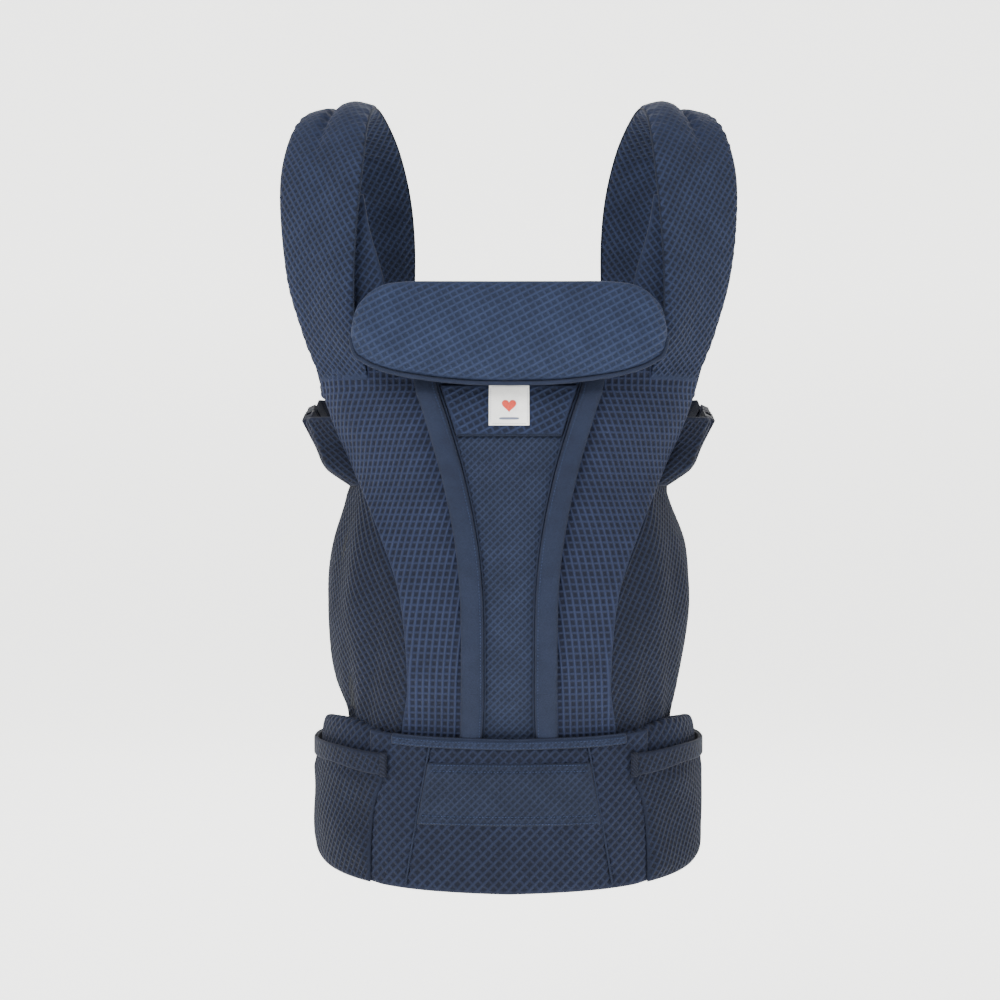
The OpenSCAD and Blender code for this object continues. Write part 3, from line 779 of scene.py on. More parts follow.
class Wardrobe:
    """The built materials by finish, and how a piece takes one."""

    def __init__(self, finishes: Finishes) -> None:
        """Builds every material."""
        groups = Groups()
        self.finishes = finishes
        self.materials = {f.name: f.build(groups) for f in vars(finishes).values()}

    def dress(self, piece: bpy.types.Object, slot: str, *finishes: Finish) -> None:
        """Gives a piece its materials, one for each layer; the slot is not used."""
        piece.data.materials.clear()
        for finish in finishes:
            piece.data.materials.append(self.materials[finish.name])
        if len(finishes) == 1:
            piece.data.polygons.foreach_set(
                "material_index", np.zeros(len(piece.data.polygons), np.int32))


def settle(piece: bpy.types.Object, body: str, *nodes: str) -> bpy.types.Object:
    """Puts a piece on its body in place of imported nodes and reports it."""
    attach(piece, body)
    if nodes:
        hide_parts(*nodes)
    log.info("%s on %s: %d faces", piece.name, body, len(piece.data.polygons))
    return piece


def emboss(piece: bpy.types.Object, weave: Waffle) -> None:
    """Presses a waffle weave into a subdivided pad, along its normals."""
    mesh = piece.data
    corner = np.zeros(len(mesh.loops), np.int32)
    mesh.loops.foreach_get("vertex_index", corner)
    flat = np.zeros(len(mesh.loops) * 2, np.float32)
    mesh.uv_layers[UV_NAME].data.foreach_get("uv", flat)
    uv = np.zeros((len(mesh.vertices), 2))
    uv[corner] = flat.reshape(-1, 2)
    share = np.zeros(len(mesh.vertices), np.float32)
    mesh.attributes[LIFT_NAME].data.foreach_get("value", share)
    normal = np.zeros(len(mesh.vertices) * 3, np.float32)
    mesh.vertex_normals.foreach_get("vector", normal)
    moved = positions(mesh) + normal.reshape(-1, 3) * (weave.height(uv) * share)[:, None]
    mesh.vertices.foreach_set("co", moved.astype(np.float32).ravel())
    mesh.update()


# ---- Forms -------------------------------------------------------------------------------------


@dataclass
class PanelForm:
    """The curved outer face of the front panel."""

    side_y: float = -0.015
    roundness: float = 0.8
    half_width: Table = ((0.060, 0.160), (0.085, 0.161), (0.120, 0.170), (0.160, 0.177),
                         (0.200, 0.181), (0.250, 0.176), (0.311, 0.159), (0.340, 0.165),
                         (0.360, 0.177), (0.410, 0.200), (0.450, 0.212), (0.500, 0.214))
    front_y: Table = ((0.060, -0.124), (0.085, -0.131), (0.120, -0.144), (0.160, -0.153),
                      (0.200, -0.157), (0.250, -0.156), (0.311, -0.149), (0.360, -0.138),
                      (0.410, -0.129), (0.450, -0.126), (0.500, -0.125))
    tube_x: Table = ((0.070, 0.035), (0.111, 0.0335), (0.167, 0.0335), (0.240, 0.037),
                     (0.313, 0.050), (0.369, 0.066), (0.410, 0.079), (0.480, 0.092))
    wing_x: Table = ((0.070, 0.103), (0.085, 0.101), (0.120, 0.096), (0.157, 0.097),
                     (0.212, 0.104), (0.267, 0.124), (0.323, 0.150), (0.360, 0.167),
                     (0.410, 0.184), (0.440, 0.190))
    leg_angle: Table = ((0.070, 94.0), (0.100, 101.0), (0.150, 107.0), (0.200, 109.0),
                        (0.260, 106.0), (0.311, 97.0))

    def at(self, angle: np.ndarray, z: np.ndarray, out: np.ndarray | float) -> np.ndarray:
        """Points at an angle in degrees from the front, a height and a distance outwards."""
        angle, z, out = np.broadcast_arrays(np.asarray(angle, float), z, out)
        turn = np.radians(angle)
        a = smooth(self.half_width, z) + out
        b = self.side_y - smooth(self.front_y, z) + out
        return np.stack([a * signed_power(np.sin(turn), self.roundness),
                         self.side_y - b * signed_power(np.cos(turn), self.roundness), z], axis=-1)

    def angle_at(self, x: np.ndarray, z: np.ndarray) -> np.ndarray:
        """The angle, in degrees, at which the outer face is x from the middle."""
        share = np.clip(np.abs(x) / smooth(self.half_width, z), 0, 1)
        return np.sign(x) * np.degrees(np.arcsin(share ** (1 / self.roundness)))

    def girth(self, angle: np.ndarray, z: np.ndarray) -> np.ndarray:
        """Distance round the outer face from the middle, at one height for each row."""
        shares = np.linspace(0, 1, 64)[:, None, None]
        line = self.at(angle * shares, np.broadcast_to(z, (64, *z.shape)), 0.0)
        return np.sign(angle) * np.linalg.norm(np.diff(line, axis=0), axis=-1).sum(axis=0)


@dataclass
class BeltForm:
    """The outer face of the belt."""

    half_width: float = 0.190
    half_depth: float = 0.135
    roundness: float = 0.9
    top: Table = ((0, 0.072), (35, 0.076), (60, 0.086), (90, 0.080), (120, 0.066), (140, 0.054))
    bottom: Table = ((0, -0.073), (35, -0.069), (60, -0.062), (90, -0.048), (120, -0.044),
                     (140, -0.042))

    def at(self, angle: np.ndarray, z: np.ndarray, out: np.ndarray | float) -> np.ndarray:
        """Points at an angle in degrees from the front, a height and a distance outwards."""
        angle, z, out = np.broadcast_arrays(np.asarray(angle, float), z, out)
        turn = np.radians(angle)
        return np.stack([(self.half_width + out) * signed_power(np.sin(turn), self.roundness),
                         -(self.half_depth + out) * signed_power(np.cos(turn), self.roundness),
                         z], axis=-1)

    def girth(self, angle: np.ndarray, z: np.ndarray) -> np.ndarray:
        """Distance round the belt from the middle."""
        shares = np.linspace(0, 1, 64)[:, None, None]
        line = self.at(angle * shares, np.broadcast_to(z, (64, *z.shape)), 0.0)
        return np.sign(angle) * np.linalg.norm(np.diff(line, axis=0), axis=-1).sum(axis=0)


@dataclass
class Cut:
    """A cloth piece laid on a form: its outline, its layers and its weave."""

    name: str
    angle: np.ndarray
    height: np.ndarray
    outer: float
    inner: float
    weave: Waffle | None = None
    roll: float = 0.004
    lean: Table | None = None
    swell: object = None
    mirrored: bool = False
    shape: object = None

    def sew(self, form: PanelForm | BeltForm) -> bpy.types.Object:
        """Builds the pad on its form.

        Args:
            form: The form it lies on.

        Returns:
            The pad, with a swell(girth, height) folded into both layers and its weave embossed.
        """
        girth = form.girth(self.angle, self.height)
        reach_u = np.minimum(np.abs(girth - girth[:, :1]), np.abs(girth - girth[:, -1:]))
        reach_v = np.minimum(np.abs(self.height - self.height[:1]),
                             np.abs(self.height - self.height[-1:]))
        edge = np.minimum(reach_u, reach_v)
        lift = rounded(edge, self.roll)
        u = np.abs(girth) if self.mirrored else girth
        if self.lean is not None:
            u = u + smooth(self.lean, self.height)
        uv = np.stack([u, self.height], axis=-1)
        # Share of the weave kept, fading to none at the edges; through the lift attribute it also fades
        # the painted pit shade.
        weave_relief = step(0.0004, 0.005, edge)
        mid, half = (self.outer + self.inner) / 2, (self.outer - self.inner) / 2
        fold = 0.0 if self.swell is None else self.swell(girth, self.height) * step(0, 0.012, edge)
        press = 0.0 if self.weave is None else self.weave.height(uv) * weave_relief
        outer = form.at(self.angle, self.height, mid + half * lift + fold + press)
        inner = form.at(self.angle, self.height, mid - half * lift + fold)
        if self.shape is not None:
            outer, inner = self.shape(outer), self.shape(inner)
        return closed_pad(self.name, outer, inner, uv, weave_relief)


def span(low: np.ndarray | float, high: np.ndarray | float, rows: int, cols: int,
         across: bool) -> np.ndarray:
    """A grid that runs from low to high, across the columns or up the rows."""
    share = np.linspace(0, 1, cols)[None, :] if across else np.linspace(0, 1, rows)[:, None]
    return np.broadcast_to(low + (high - low) * share, (rows, cols)).copy()


def count(length: float, size: float = FINE) -> int:
    """Number of grid points for a length."""
    return max(4, int(math.ceil(length / size)) + 1)


# ---- Sub-assemblies ----------------------------------------------------------------------------


SIDES = {"left": -1, "right": 1}


@dataclass
class FrontPanel:
    """Centre panel, tubes, wings, seat sides, liner, bindings, hood and its pocket."""

    form: PanelForm
    low: float = 0.0735
    tuck: float = 0.011
    high: float = 0.490
    seat_top: float = 0.311
    wing_high: float = 0.440
    tube_top: float = 0.412
    thick: float = 0.003
    gap: float = 0.0003
    under: float = 0.0018
    tube_half: float = 0.0097
    tube_low_rise: float = 0.007
    tube_high_rise: float = 0.009
    piping: float = 0.0011
    liner_thick: float = 0.004
    binding: float = 0.0045
    binding_turn: float = 2.4
    hood_low: float = 0.412
    hood_high: float = 0.480
    lean: Table = ((0.070, 0.0), (0.150, 0.004), (0.250, 0.022), (0.330, 0.048), (0.400, 0.076))

    def tube_angle(self, z: np.ndarray) -> np.ndarray:
        """Angle of the tubes' middle at a height."""
        return self.form.angle_at(smooth(self.form.tube_x, z), z)

    def wing_angle(self, z: np.ndarray) -> np.ndarray:
        """Angle of the wings' outer edge at a height."""
        return self.form.angle_at(smooth(self.form.wing_x, z), z)

    def centre(self, wardrobe: Wardrobe) -> None:
        """Sews the centre panel between the tubes."""
        f = wardrobe.finishes
        z = span(self.low - self.tuck, self.high, count(self.high - self.low + self.tuck), count(0.19),
                 False)
        half = self.tube_angle(z[:, :1]) - 0.1
        angle = half * np.linspace(-1, 1, z.shape[1])[None]
        def swell(u: np.ndarray, v: np.ndarray) -> np.ndarray:
            """Soft waves, the whole panel sunk slightly."""
            return 0.0010 * ripple(u, v * 0.6, 0.09, 3) - 0.0006
        pad = Cut("centre_panel_cloth", angle, z, 0.0, -self.thick, f.star, swell=swell).sew(self.form)
        wardrobe.dress(pad, "waffle_mesh", f.star, f.lining)
        settle(pad, "root", "centre_panel")

    def wings(self, wardrobe: Wardrobe) -> None:
        """Sews the two wings from the tubes to the seat sides."""
        f = wardrobe.finishes
        for name, side in SIDES.items():
            rows, cols = count(self.wing_high - self.low), count(0.112)
            share = np.linspace(0, 1, cols)[None]
            low = self.low - self.tuck + 0.007 * share
            z = low + (self.wing_high - low) * np.linspace(0, 1, rows)[:, None]
            near, far = self.tube_angle(z) + 0.1, self.wing_angle(z)
            angle = side * (near + (far - near) * share)
            def swell(u: np.ndarray, v: np.ndarray) -> np.ndarray:
                """Tension folds that run from the strap down to the belt."""
                pull = np.abs(u) - 0.10 - smooth(self.lean, v)
                return 0.0016 * ripple(pull * 1.4, v * 0.35, 0.075, 11 + side)
            pad = Cut(f"wing_{name}_cloth", angle, z, 0.0, -self.thick, f.wing, 0.004,
                      self.lean, swell, True).sew(self.form)
            wardrobe.dress(pad, "waffle_mesh", f.wing, f.lining)
            settle(pad, "root", f"wing_{name}")

    def seat_sides(self, wardrobe: Wardrobe) -> None:
        """Sews the dark seat sides with their soft gathers."""
        f = wardrobe.finishes
        for name, side in SIDES.items():
            rows, cols = count(self.seat_top - self.low), count(0.19)
            share = np.linspace(0, 1, cols)[None]
            low = self.low - self.tuck + 0.007 * np.sin(math.pi * np.minimum(1, 0.5 + share / 2))
            z = low + (self.seat_top - low) * np.linspace(0, 1, rows)[:, None]
            near, far = self.wing_angle(z) - 1.1, smooth(self.form.leg_angle, z)
            angle = side * (near + (far - near) * share)
            def swell(u: np.ndarray, v: np.ndarray) -> np.ndarray:
                """Long folds that gather towards the belt."""
                gather = step(0.20, 0.09, v)
                comb = np.sin(2 * math.pi * np.abs(u) / 0.034 + 3 * v / 0.1)
                return (0.0022 * ripple(u * 1.5, v * 0.5, 0.10, 21 + side)
                        + 0.0012 * gather * comb)
            pad = Cut(f"seat_side_{name}_cloth", angle, z, -self.under, -self.thick - self.under,
                      f.side, swell=swell, mirrored=True).sew(self.form)
            wardrobe.dress(pad, "dark_mesh", f.side, f.lining)
            settle(pad, "root", f"seat_side_{name}")

    def tubes(self, wardrobe: Wardrobe) -> None:
        """Sews the padded tubes and the piping along their inner and outer edges."""
        f = wardrobe.finishes
        piping, seams = [], []
        for name, side in SIDES.items():
            rows = count(0.402 - self.low, 0.002)
            z = np.linspace(self.low - 0.004, self.tube_top, rows)
            mid = self.tube_angle(z)
            half = self.form.angle_at(smooth(self.form.tube_x, z) + self.tube_half, z) - mid
            turn = 2 * math.pi * np.arange(40) / 40
            edge = np.minimum(z - z[0], z[-1] - z) + 0.001
            high = np.interp(z, [z[0], 0.395, z[-1]],
                             [self.tube_low_rise, self.tube_high_rise, 0.0035]) \
                * (0.4 + 0.6 * rounded(edge, 0.006))
            wave = 1 + 0.05 * ripple(z, z * 0, 0.05, 31 + side)
            angle = side * (mid[:, None] + half[:, None] * signed_power(np.cos(turn), 0.8)[None])
            lift = self.gap + (high * wave)[:, None] * (0.5 + 0.5 * signed_power(np.sin(turn), 0.8)[None])
            rings = self.form.at(angle, z[:, None], lift)
            around = np.abs(np.arange(40) - 20.0) / 20 * 0.024
            uv = np.stack(np.broadcast_arrays(around[None], z[:, None]), axis=-1)
            pad = tube(f"tube_{name}_pad", rings, uv)
            wardrobe.dress(pad, "plain_knit", f.knit)
            settle(pad, "root", f"tube_{name}")
            for edge_side, radius in ((-1, self.piping), (1, self.piping * 0.7)):
                path = self.form.at(side * (mid + edge_side * half * 1.04), z, 0.0009)
                piping.append((f"tube_piping_{name}_{'inner' if edge_side < 0 else 'outer'}",
                               path, radius))
            line = side * (mid - half * 0.78)
            seams.append((self.form.at(line, z, self.gap + high * 0.80 + 0.0004),
                          self.form.at(line, z, 0.02) - self.form.at(line, z, 0.0)))
        for label, path, radius in piping:
            cord = cord_piece(label, path, radius)
            wardrobe.dress(cord, "plain_knit", f.knit)
            settle(cord, "root")
        threads = thread_rows("tube_stitches", seams)
        wardrobe.dress(threads, "plain_knit", f.thread)
        settle(threads, "root")

    def liner(self, wardrobe: Wardrobe) -> None:
        """Sews the inner liner that carries the child."""
        f = wardrobe.finishes
        z = span(0.092, self.high - 0.002, count(0.4, 0.003), count(0.6, 0.003), False)
        share = np.clip((z[:, :1] - self.seat_top) / 0.04, 0, 1)
        edge = np.where(z[:, :1] < self.seat_top, smooth(self.form.leg_angle, z[:, :1]),
                        97 + (self.wing_angle(np.array(0.398)) - 97) * share)
        edge = edge * (1 - 0.4 * step(0.380, 0.396, z[:, :1]))
        angle = edge * np.linspace(-1, 1, z.shape[1])[None]
        outer = -self.thick - self.gap
        def swell(u: np.ndarray, v: np.ndarray) -> np.ndarray:
            """Soft waves towards the child."""
            return -0.0008 * (1 + ripple(u, v, 0.08, 5))
        pad = Cut("inner_liner_cloth", angle, z, outer - 0.0006, outer - self.liner_thick, None,
                  0.003, None, swell).sew(self.form)
        wardrobe.dress(pad, "lining", f.dark, f.dark)
        settle(pad, "root", "inner_liner")

    def bindings(self, wardrobe: Wardrobe) -> None:
        """Sews the round bindings of the leg openings."""
        f = wardrobe.finishes
        for name, side in SIDES.items():
            z = np.linspace(0.094, 0.304, 120)
            path = self.form.at(side * (smooth(self.form.leg_angle, z) + self.binding_turn), z, -0.004)
            pad = cord_piece(f"leg_binding_{name}_roll", path, self.binding, 0.002, 20)
            wardrobe.dress(pad, "plain_knit", f.binding)
            settle(pad, "root", f"leg_binding_{name}")

    def hood(self, wardrobe: Wardrobe) -> None:
        """Sews the pocket behind the pillow and the hood rolled inside it."""
        f = wardrobe.finishes
        z = span(self.hood_low, self.hood_high, count(0.068), count(0.10), False)
        angle = span(-16.0, 16.0, *z.shape, True)
        pocket = Cut("hood_pocket_cloth", angle, z, 0.0043, 0.0031, f.side, 0.002).sew(self.form)
        wardrobe.dress(pocket, "waffle_mesh", f.side, f.lining)
        settle(pocket, "root", "hood_pocket")
        z = span(self.hood_low + 0.003, self.hood_high - 0.003, count(0.062, 0.003),
                 count(0.09, 0.003), False)
        hood = Cut("sleeping_hood_cloth", span(-14.0, 14.0, *z.shape, True), z, 0.0029, 0.0004,
                   None, 0.003).sew(self.form)
        wardrobe.dress(hood, "lining", f.lining, f.lining)
        settle(hood, "root", "sleeping_hood")

    def build(self, wardrobe: Wardrobe) -> None:
        """Builds the whole panel."""
        self.centre(wardrobe)
        self.wings(wardrobe)
        self.seat_sides(wardrobe)
        self.tubes(wardrobe)
        self.liner(wardrobe)
        self.bindings(wardrobe)
        self.hood(wardrobe)


@dataclass
class PocketFlap:
    """The lifting flap of the pocket and the woven label on it."""

    form: PanelForm
    low: float = 0.354
    high: float = 0.4025
    clear: float = 0.013
    outer: float = 0.003
    inner: float = 0.001
    label_low: float = 0.364
    label_high: float = 0.4022
    label_half: float = 0.0185
    label_outer: float = 0.0040
    label_inner: float = 0.0031

    def build(self, wardrobe: Wardrobe) -> None:
        """Sews the flap, its hem, the label and its motif."""
        f = wardrobe.finishes
        z = span(self.low, self.high, count(self.high - self.low), count(0.11), False)
        half = self.form.angle_at(smooth(self.form.tube_x, z[:, :1]) - self.clear, z[:, :1])
        angle = half * np.linspace(-1, 1, z.shape[1])[None]
        flap = Cut("pocket_flap_cloth", angle, z, self.outer, self.inner, f.front, 0.0016).sew(self.form)
        wardrobe.dress(flap, "waffle_mesh", f.front, f.lining)
        settle(flap, "flap", "pocket_flap")
        across = np.linspace(-0.98, 0.98, 80)
        hem_z = np.full(80, self.low + 0.0012)
        hem = self.form.at(across * self.form.angle_at(smooth(self.form.tube_x, self.low) - self.clear,
                                                      self.low), hem_z, self.outer - 0.0006)
        cord = cord_piece("pocket_flap_hem", hem, 0.0011)
        wardrobe.dress(cord, "plain_knit", f.binding)
        settle(cord, "flap")
        self.sew_label(wardrobe)

    def on_label(self, x: np.ndarray, z: np.ndarray, out: float) -> np.ndarray:
        """Points on the label's face."""
        return self.form.at(self.form.angle_at(x, z), z, out)

    def sew_label(self, wardrobe: Wardrobe) -> None:
        """Sews the label, its stitched border, a small heart and a bar."""
        f = wardrobe.finishes
        rows, cols = count(0.034, 0.0008), count(0.037, 0.0008)
        z = span(self.label_low, self.label_high, rows, cols, False)
        x = span(-self.label_half, self.label_half, rows, cols, True)
        label = Cut("label_cloth_patch", self.form.angle_at(x, z), z, self.label_outer,
                    self.label_inner, None, 0.0007).sew(self.form)
        wardrobe.dress(label, "label_cloth", f.label, f.label)
        settle(label, "flap", "label")
        inset = 0.0019
        hx, lo, hi = self.label_half - inset, self.label_low + inset, self.label_high - inset
        corners = [(-hx, lo), (hx, lo), (hx, hi), (-hx, hi), (-hx, lo)]
        rows_of = []
        for (x0, z0), (x1, z1) in zip(corners, corners[1:]):
            xs, zs = np.linspace(x0, x1, 30), np.linspace(z0, z1, 30)
            face = self.on_label(xs, zs, self.label_outer)
            rows_of.append((face, self.on_label(xs, zs, 0.02) - face))
        border_row = thread_rows("label_stitches", rows_of, 0.0022, 0.0014, 0.00022)
        wardrobe.dress(border_row, "label_cloth", f.grey)
        settle(border_row, "flap")
        turn = np.linspace(0, 2 * math.pi, 97)[:-1]
        heart_x = 0.00042 * 16 * np.sin(turn) ** 3
        heart_z = 0.3830 + 0.00042 * (13 * np.cos(turn) - 5 * np.cos(2 * turn)
                                      - 2 * np.cos(3 * turn) - np.cos(4 * turn))
        self.motif("label_heart", heart_x, heart_z, f.coral, wardrobe)
        bar_x = 0.0092 * signed_power(np.cos(turn), 0.35)
        bar_z = 0.3706 + 0.0011 * signed_power(np.sin(turn), 0.6)
        self.motif("label_bar", bar_x, bar_z, f.grey, wardrobe)

    def motif(self, name: str, x: np.ndarray, z: np.ndarray, finish: Finish,
              wardrobe: Wardrobe) -> None:
        """Embroiders a filled outline on the label.

        Args:
            name: Name of the piece.
            x, z: Its outline.
            finish: Its thread.
            wardrobe: The materials.
        """
        rings = []
        for share, out in ((1.0, -0.0002), (0.97, 0.00018), (0.8, 0.00030), (0.45, 0.00034)):
            cx, cz = x.mean(), z.mean()
            rings.append(self.on_label(cx + (x - cx) * share, cz + (z - cz) * share,
                                       self.label_outer + out))
        rings = np.stack([rings[0], *rings])
        rings[0] = rings[0] * 0.5 + rings[0].mean(0) * 0.5
        piece = tube(name, rings, np.zeros((*rings.shape[:2], 2)))
        wardrobe.dress(piece, "label_cloth", finish)
        settle(piece, "flap")


@dataclass
class HeadPillow:
    """The folded head and neck pillow, its piping and its button tabs."""

    half_width: float = 0.147
    back: float = -0.134
    thick: float = 0.030
    low: Table = ((0.0, 0.4035), (0.040, 0.4045), (0.085, 0.4095), (0.112, 0.4150),
                  (0.135, 0.4250), (0.1440, 0.4340), (0.147, 0.4470))
    high: Table = ((0.0, 0.4975), (0.060, 0.4975), (0.100, 0.4965), (0.118, 0.4930),
                   (0.134, 0.4820), (0.1430, 0.4680), (0.147, 0.4490))

    def build(self, wardrobe: Wardrobe) -> None:
        """Sews, fills and dresses the pillow."""
        f = wardrobe.finishes
        rows, cols = count(0.125, COARSE), count(0.30, COARSE)
        across = np.sin(np.linspace(-math.pi / 2, math.pi / 2, cols)) * 0.4 \
            + np.linspace(-1, 1, cols) * 0.6
        x = np.broadcast_to(across * self.half_width, (rows, cols))
        size = np.abs(x)
        low, high = smooth(self.low, size), smooth(self.high, size)
        share = np.linspace(0, 1, rows)[:, None]
        share = share * 0.75 + (0.5 - 0.5 * np.cos(math.pi * share)) * 0.25
        z = low + (high - low) * share
        reach = np.minimum(self.half_width - size, 1.0)
        end = rounded(reach + 0.0006, 0.045)
        girth = 0.5 * (1 - np.abs(2 * share - 1) ** 2.4) ** 0.55
        fold = girth * (1 + 0.10 * (0.5 - share))
        deep = self.thick * 0.94 * fold * end
        mid = self.back - self.thick / 2 * (0.25 + 0.75 * end) + 0.002 * (1 - share)
        pucker = 0.0006 * ripple(x, z, 0.06, 7)
        outer = np.stack([x, mid - deep + pucker, z], axis=-1)
        inner = np.stack([x, mid + deep * 0.96, z], axis=-1)
        run = np.r_[0, np.cumsum(np.hypot(np.diff(outer[:, cols // 2, 1]),
                                          np.diff(outer[:, cols // 2, 2])))]
        v = np.broadcast_to(run[:, None], (rows, cols))
        uv = np.stack([x, v * (high - low) / (high[:, cols // 2] - low[:, cols // 2])[:1, None]
                       + low - 0.4035], axis=-1)
        edge = np.minimum(reach, np.minimum(z - low, high - z))
        lift = step(0.0005, 0.005, edge)
        pad = closed_pad("head_pillow_pad", outer, inner, uv, lift)
        puff(pad, border(rows, cols), 4.0, 0.006)
        subdivide(pad)
        emboss(pad, f.pillow)
        wardrobe.dress(pad, "waffle_mesh", f.pillow, f.dark)
        settle(pad, "headrest", "head_pillow")
        self.pipe(wardrobe)
        self.tabs(wardrobe)

    def pipe(self, wardrobe: Wardrobe) -> None:
        """Sews the piping along the pillow's lower edge and ends."""
        f = wardrobe.finishes
        x = np.sin(np.radians(np.linspace(-88, 88, 160))) * (self.half_width + 0.0005)
        size = np.minimum(np.abs(x), self.half_width)
        z = smooth(self.low, size) - 0.0012
        end = rounded(self.half_width - size + 0.0006, 0.045)
        y = self.back - self.thick / 2 * (0.25 + 0.75 * end) - 0.0012
        cord = cord_piece("pillow_piping_cord", np.stack([x, y, z], axis=1), 0.0021, 0.002, 10)
        wardrobe.dress(cord, "plain_knit", f.knit)
        settle(cord, "headrest", "pillow_piping")

    def tabs(self, wardrobe: Wardrobe) -> None:
        """Makes the button tabs on the pillow's back."""
        f = wardrobe.finishes
        for name, side in SIDES.items():
            rows, cols = count(0.040, 0.002), count(0.018, 0.002)
            x = span(side * 0.096 - 0.009, side * 0.096 + 0.009, rows, cols, True)
            z = span(0.436, 0.476, rows, cols, False)
            edge = np.minimum(np.minimum(x - x[:, :1], x[:, -1:] - x), np.minimum(z - z[:1], z[-1:] - z))
            bulge = 0.0007 * rounded(edge, 0.0015)
            y = self.back + 0.0011
            outer = np.stack([x, y + bulge, z], axis=-1)
            inner = np.stack([x, y - bulge, z], axis=-1)
            tab = closed_pad(f"pillow_tab_{name}", outer, inner, np.stack([x, z], axis=-1))
            wardrobe.dress(tab, "lining", f.binding, f.binding)
            settle(tab, "headrest", *(["pillow_tabs"] if side < 0 else []))
            place = Vector((side * 0.096, self.back + 0.0017, 0.444))
            button = disc_button(f"pillow_button_{name}", place, 0.0065, 0.0018)
            wardrobe.dress(button, "buckle_plastic", f.plastic)
            settle(button, "headrest")


def disc_button(name: str, centre: Vector, radius: float, thick: float) -> bpy.types.Object:
    """Turns a flat sewing button with a raised rim, facing +Y.

    Args:
        name: Name of the piece.
        centre: Middle of its face towards the pillow.
        radius: Its radius.
        thick: Its thickness.

    Returns:
        The button.
    """
    bpy.ops.object.select_all(action="DESELECT")
    bpy.ops.mesh.primitive_cylinder_add(vertices=40, radius=radius, depth=thick,
                                        location=(0.0, 0.0, thick / 2))
    button = bpy.context.object
    button.name = button.data.name = name
    bpy.ops.object.mode_set(mode="EDIT")
    shell = bmesh.from_edit_mesh(button.data)
    for face in shell.faces:
        face.select = face.normal.z > 0.9
    shell.select_flush_mode()
    bmesh.update_edit_mesh(button.data)
    bpy.ops.mesh.inset(thickness=radius * 0.22, depth=0.0)
    bpy.ops.mesh.inset(thickness=radius * 0.08, depth=-thick * 0.35)
    bpy.ops.object.mode_set(mode="OBJECT")
    edge = button.modifiers.new("edge", "BEVEL")
    edge.width, edge.segments, edge.limit_method = thick * 0.18, 2, "ANGLE"
    only(button)
    bpy.ops.object.modifier_apply(modifier=edge.name)
    bpy.ops.object.shade_smooth_by_angle(angle=math.radians(35))
    button.data.transform(Matrix.Translation(centre) @ Matrix.Rotation(math.radians(-90), 4, "X"))
    button.matrix_world = Matrix.Identity(4)
    return button


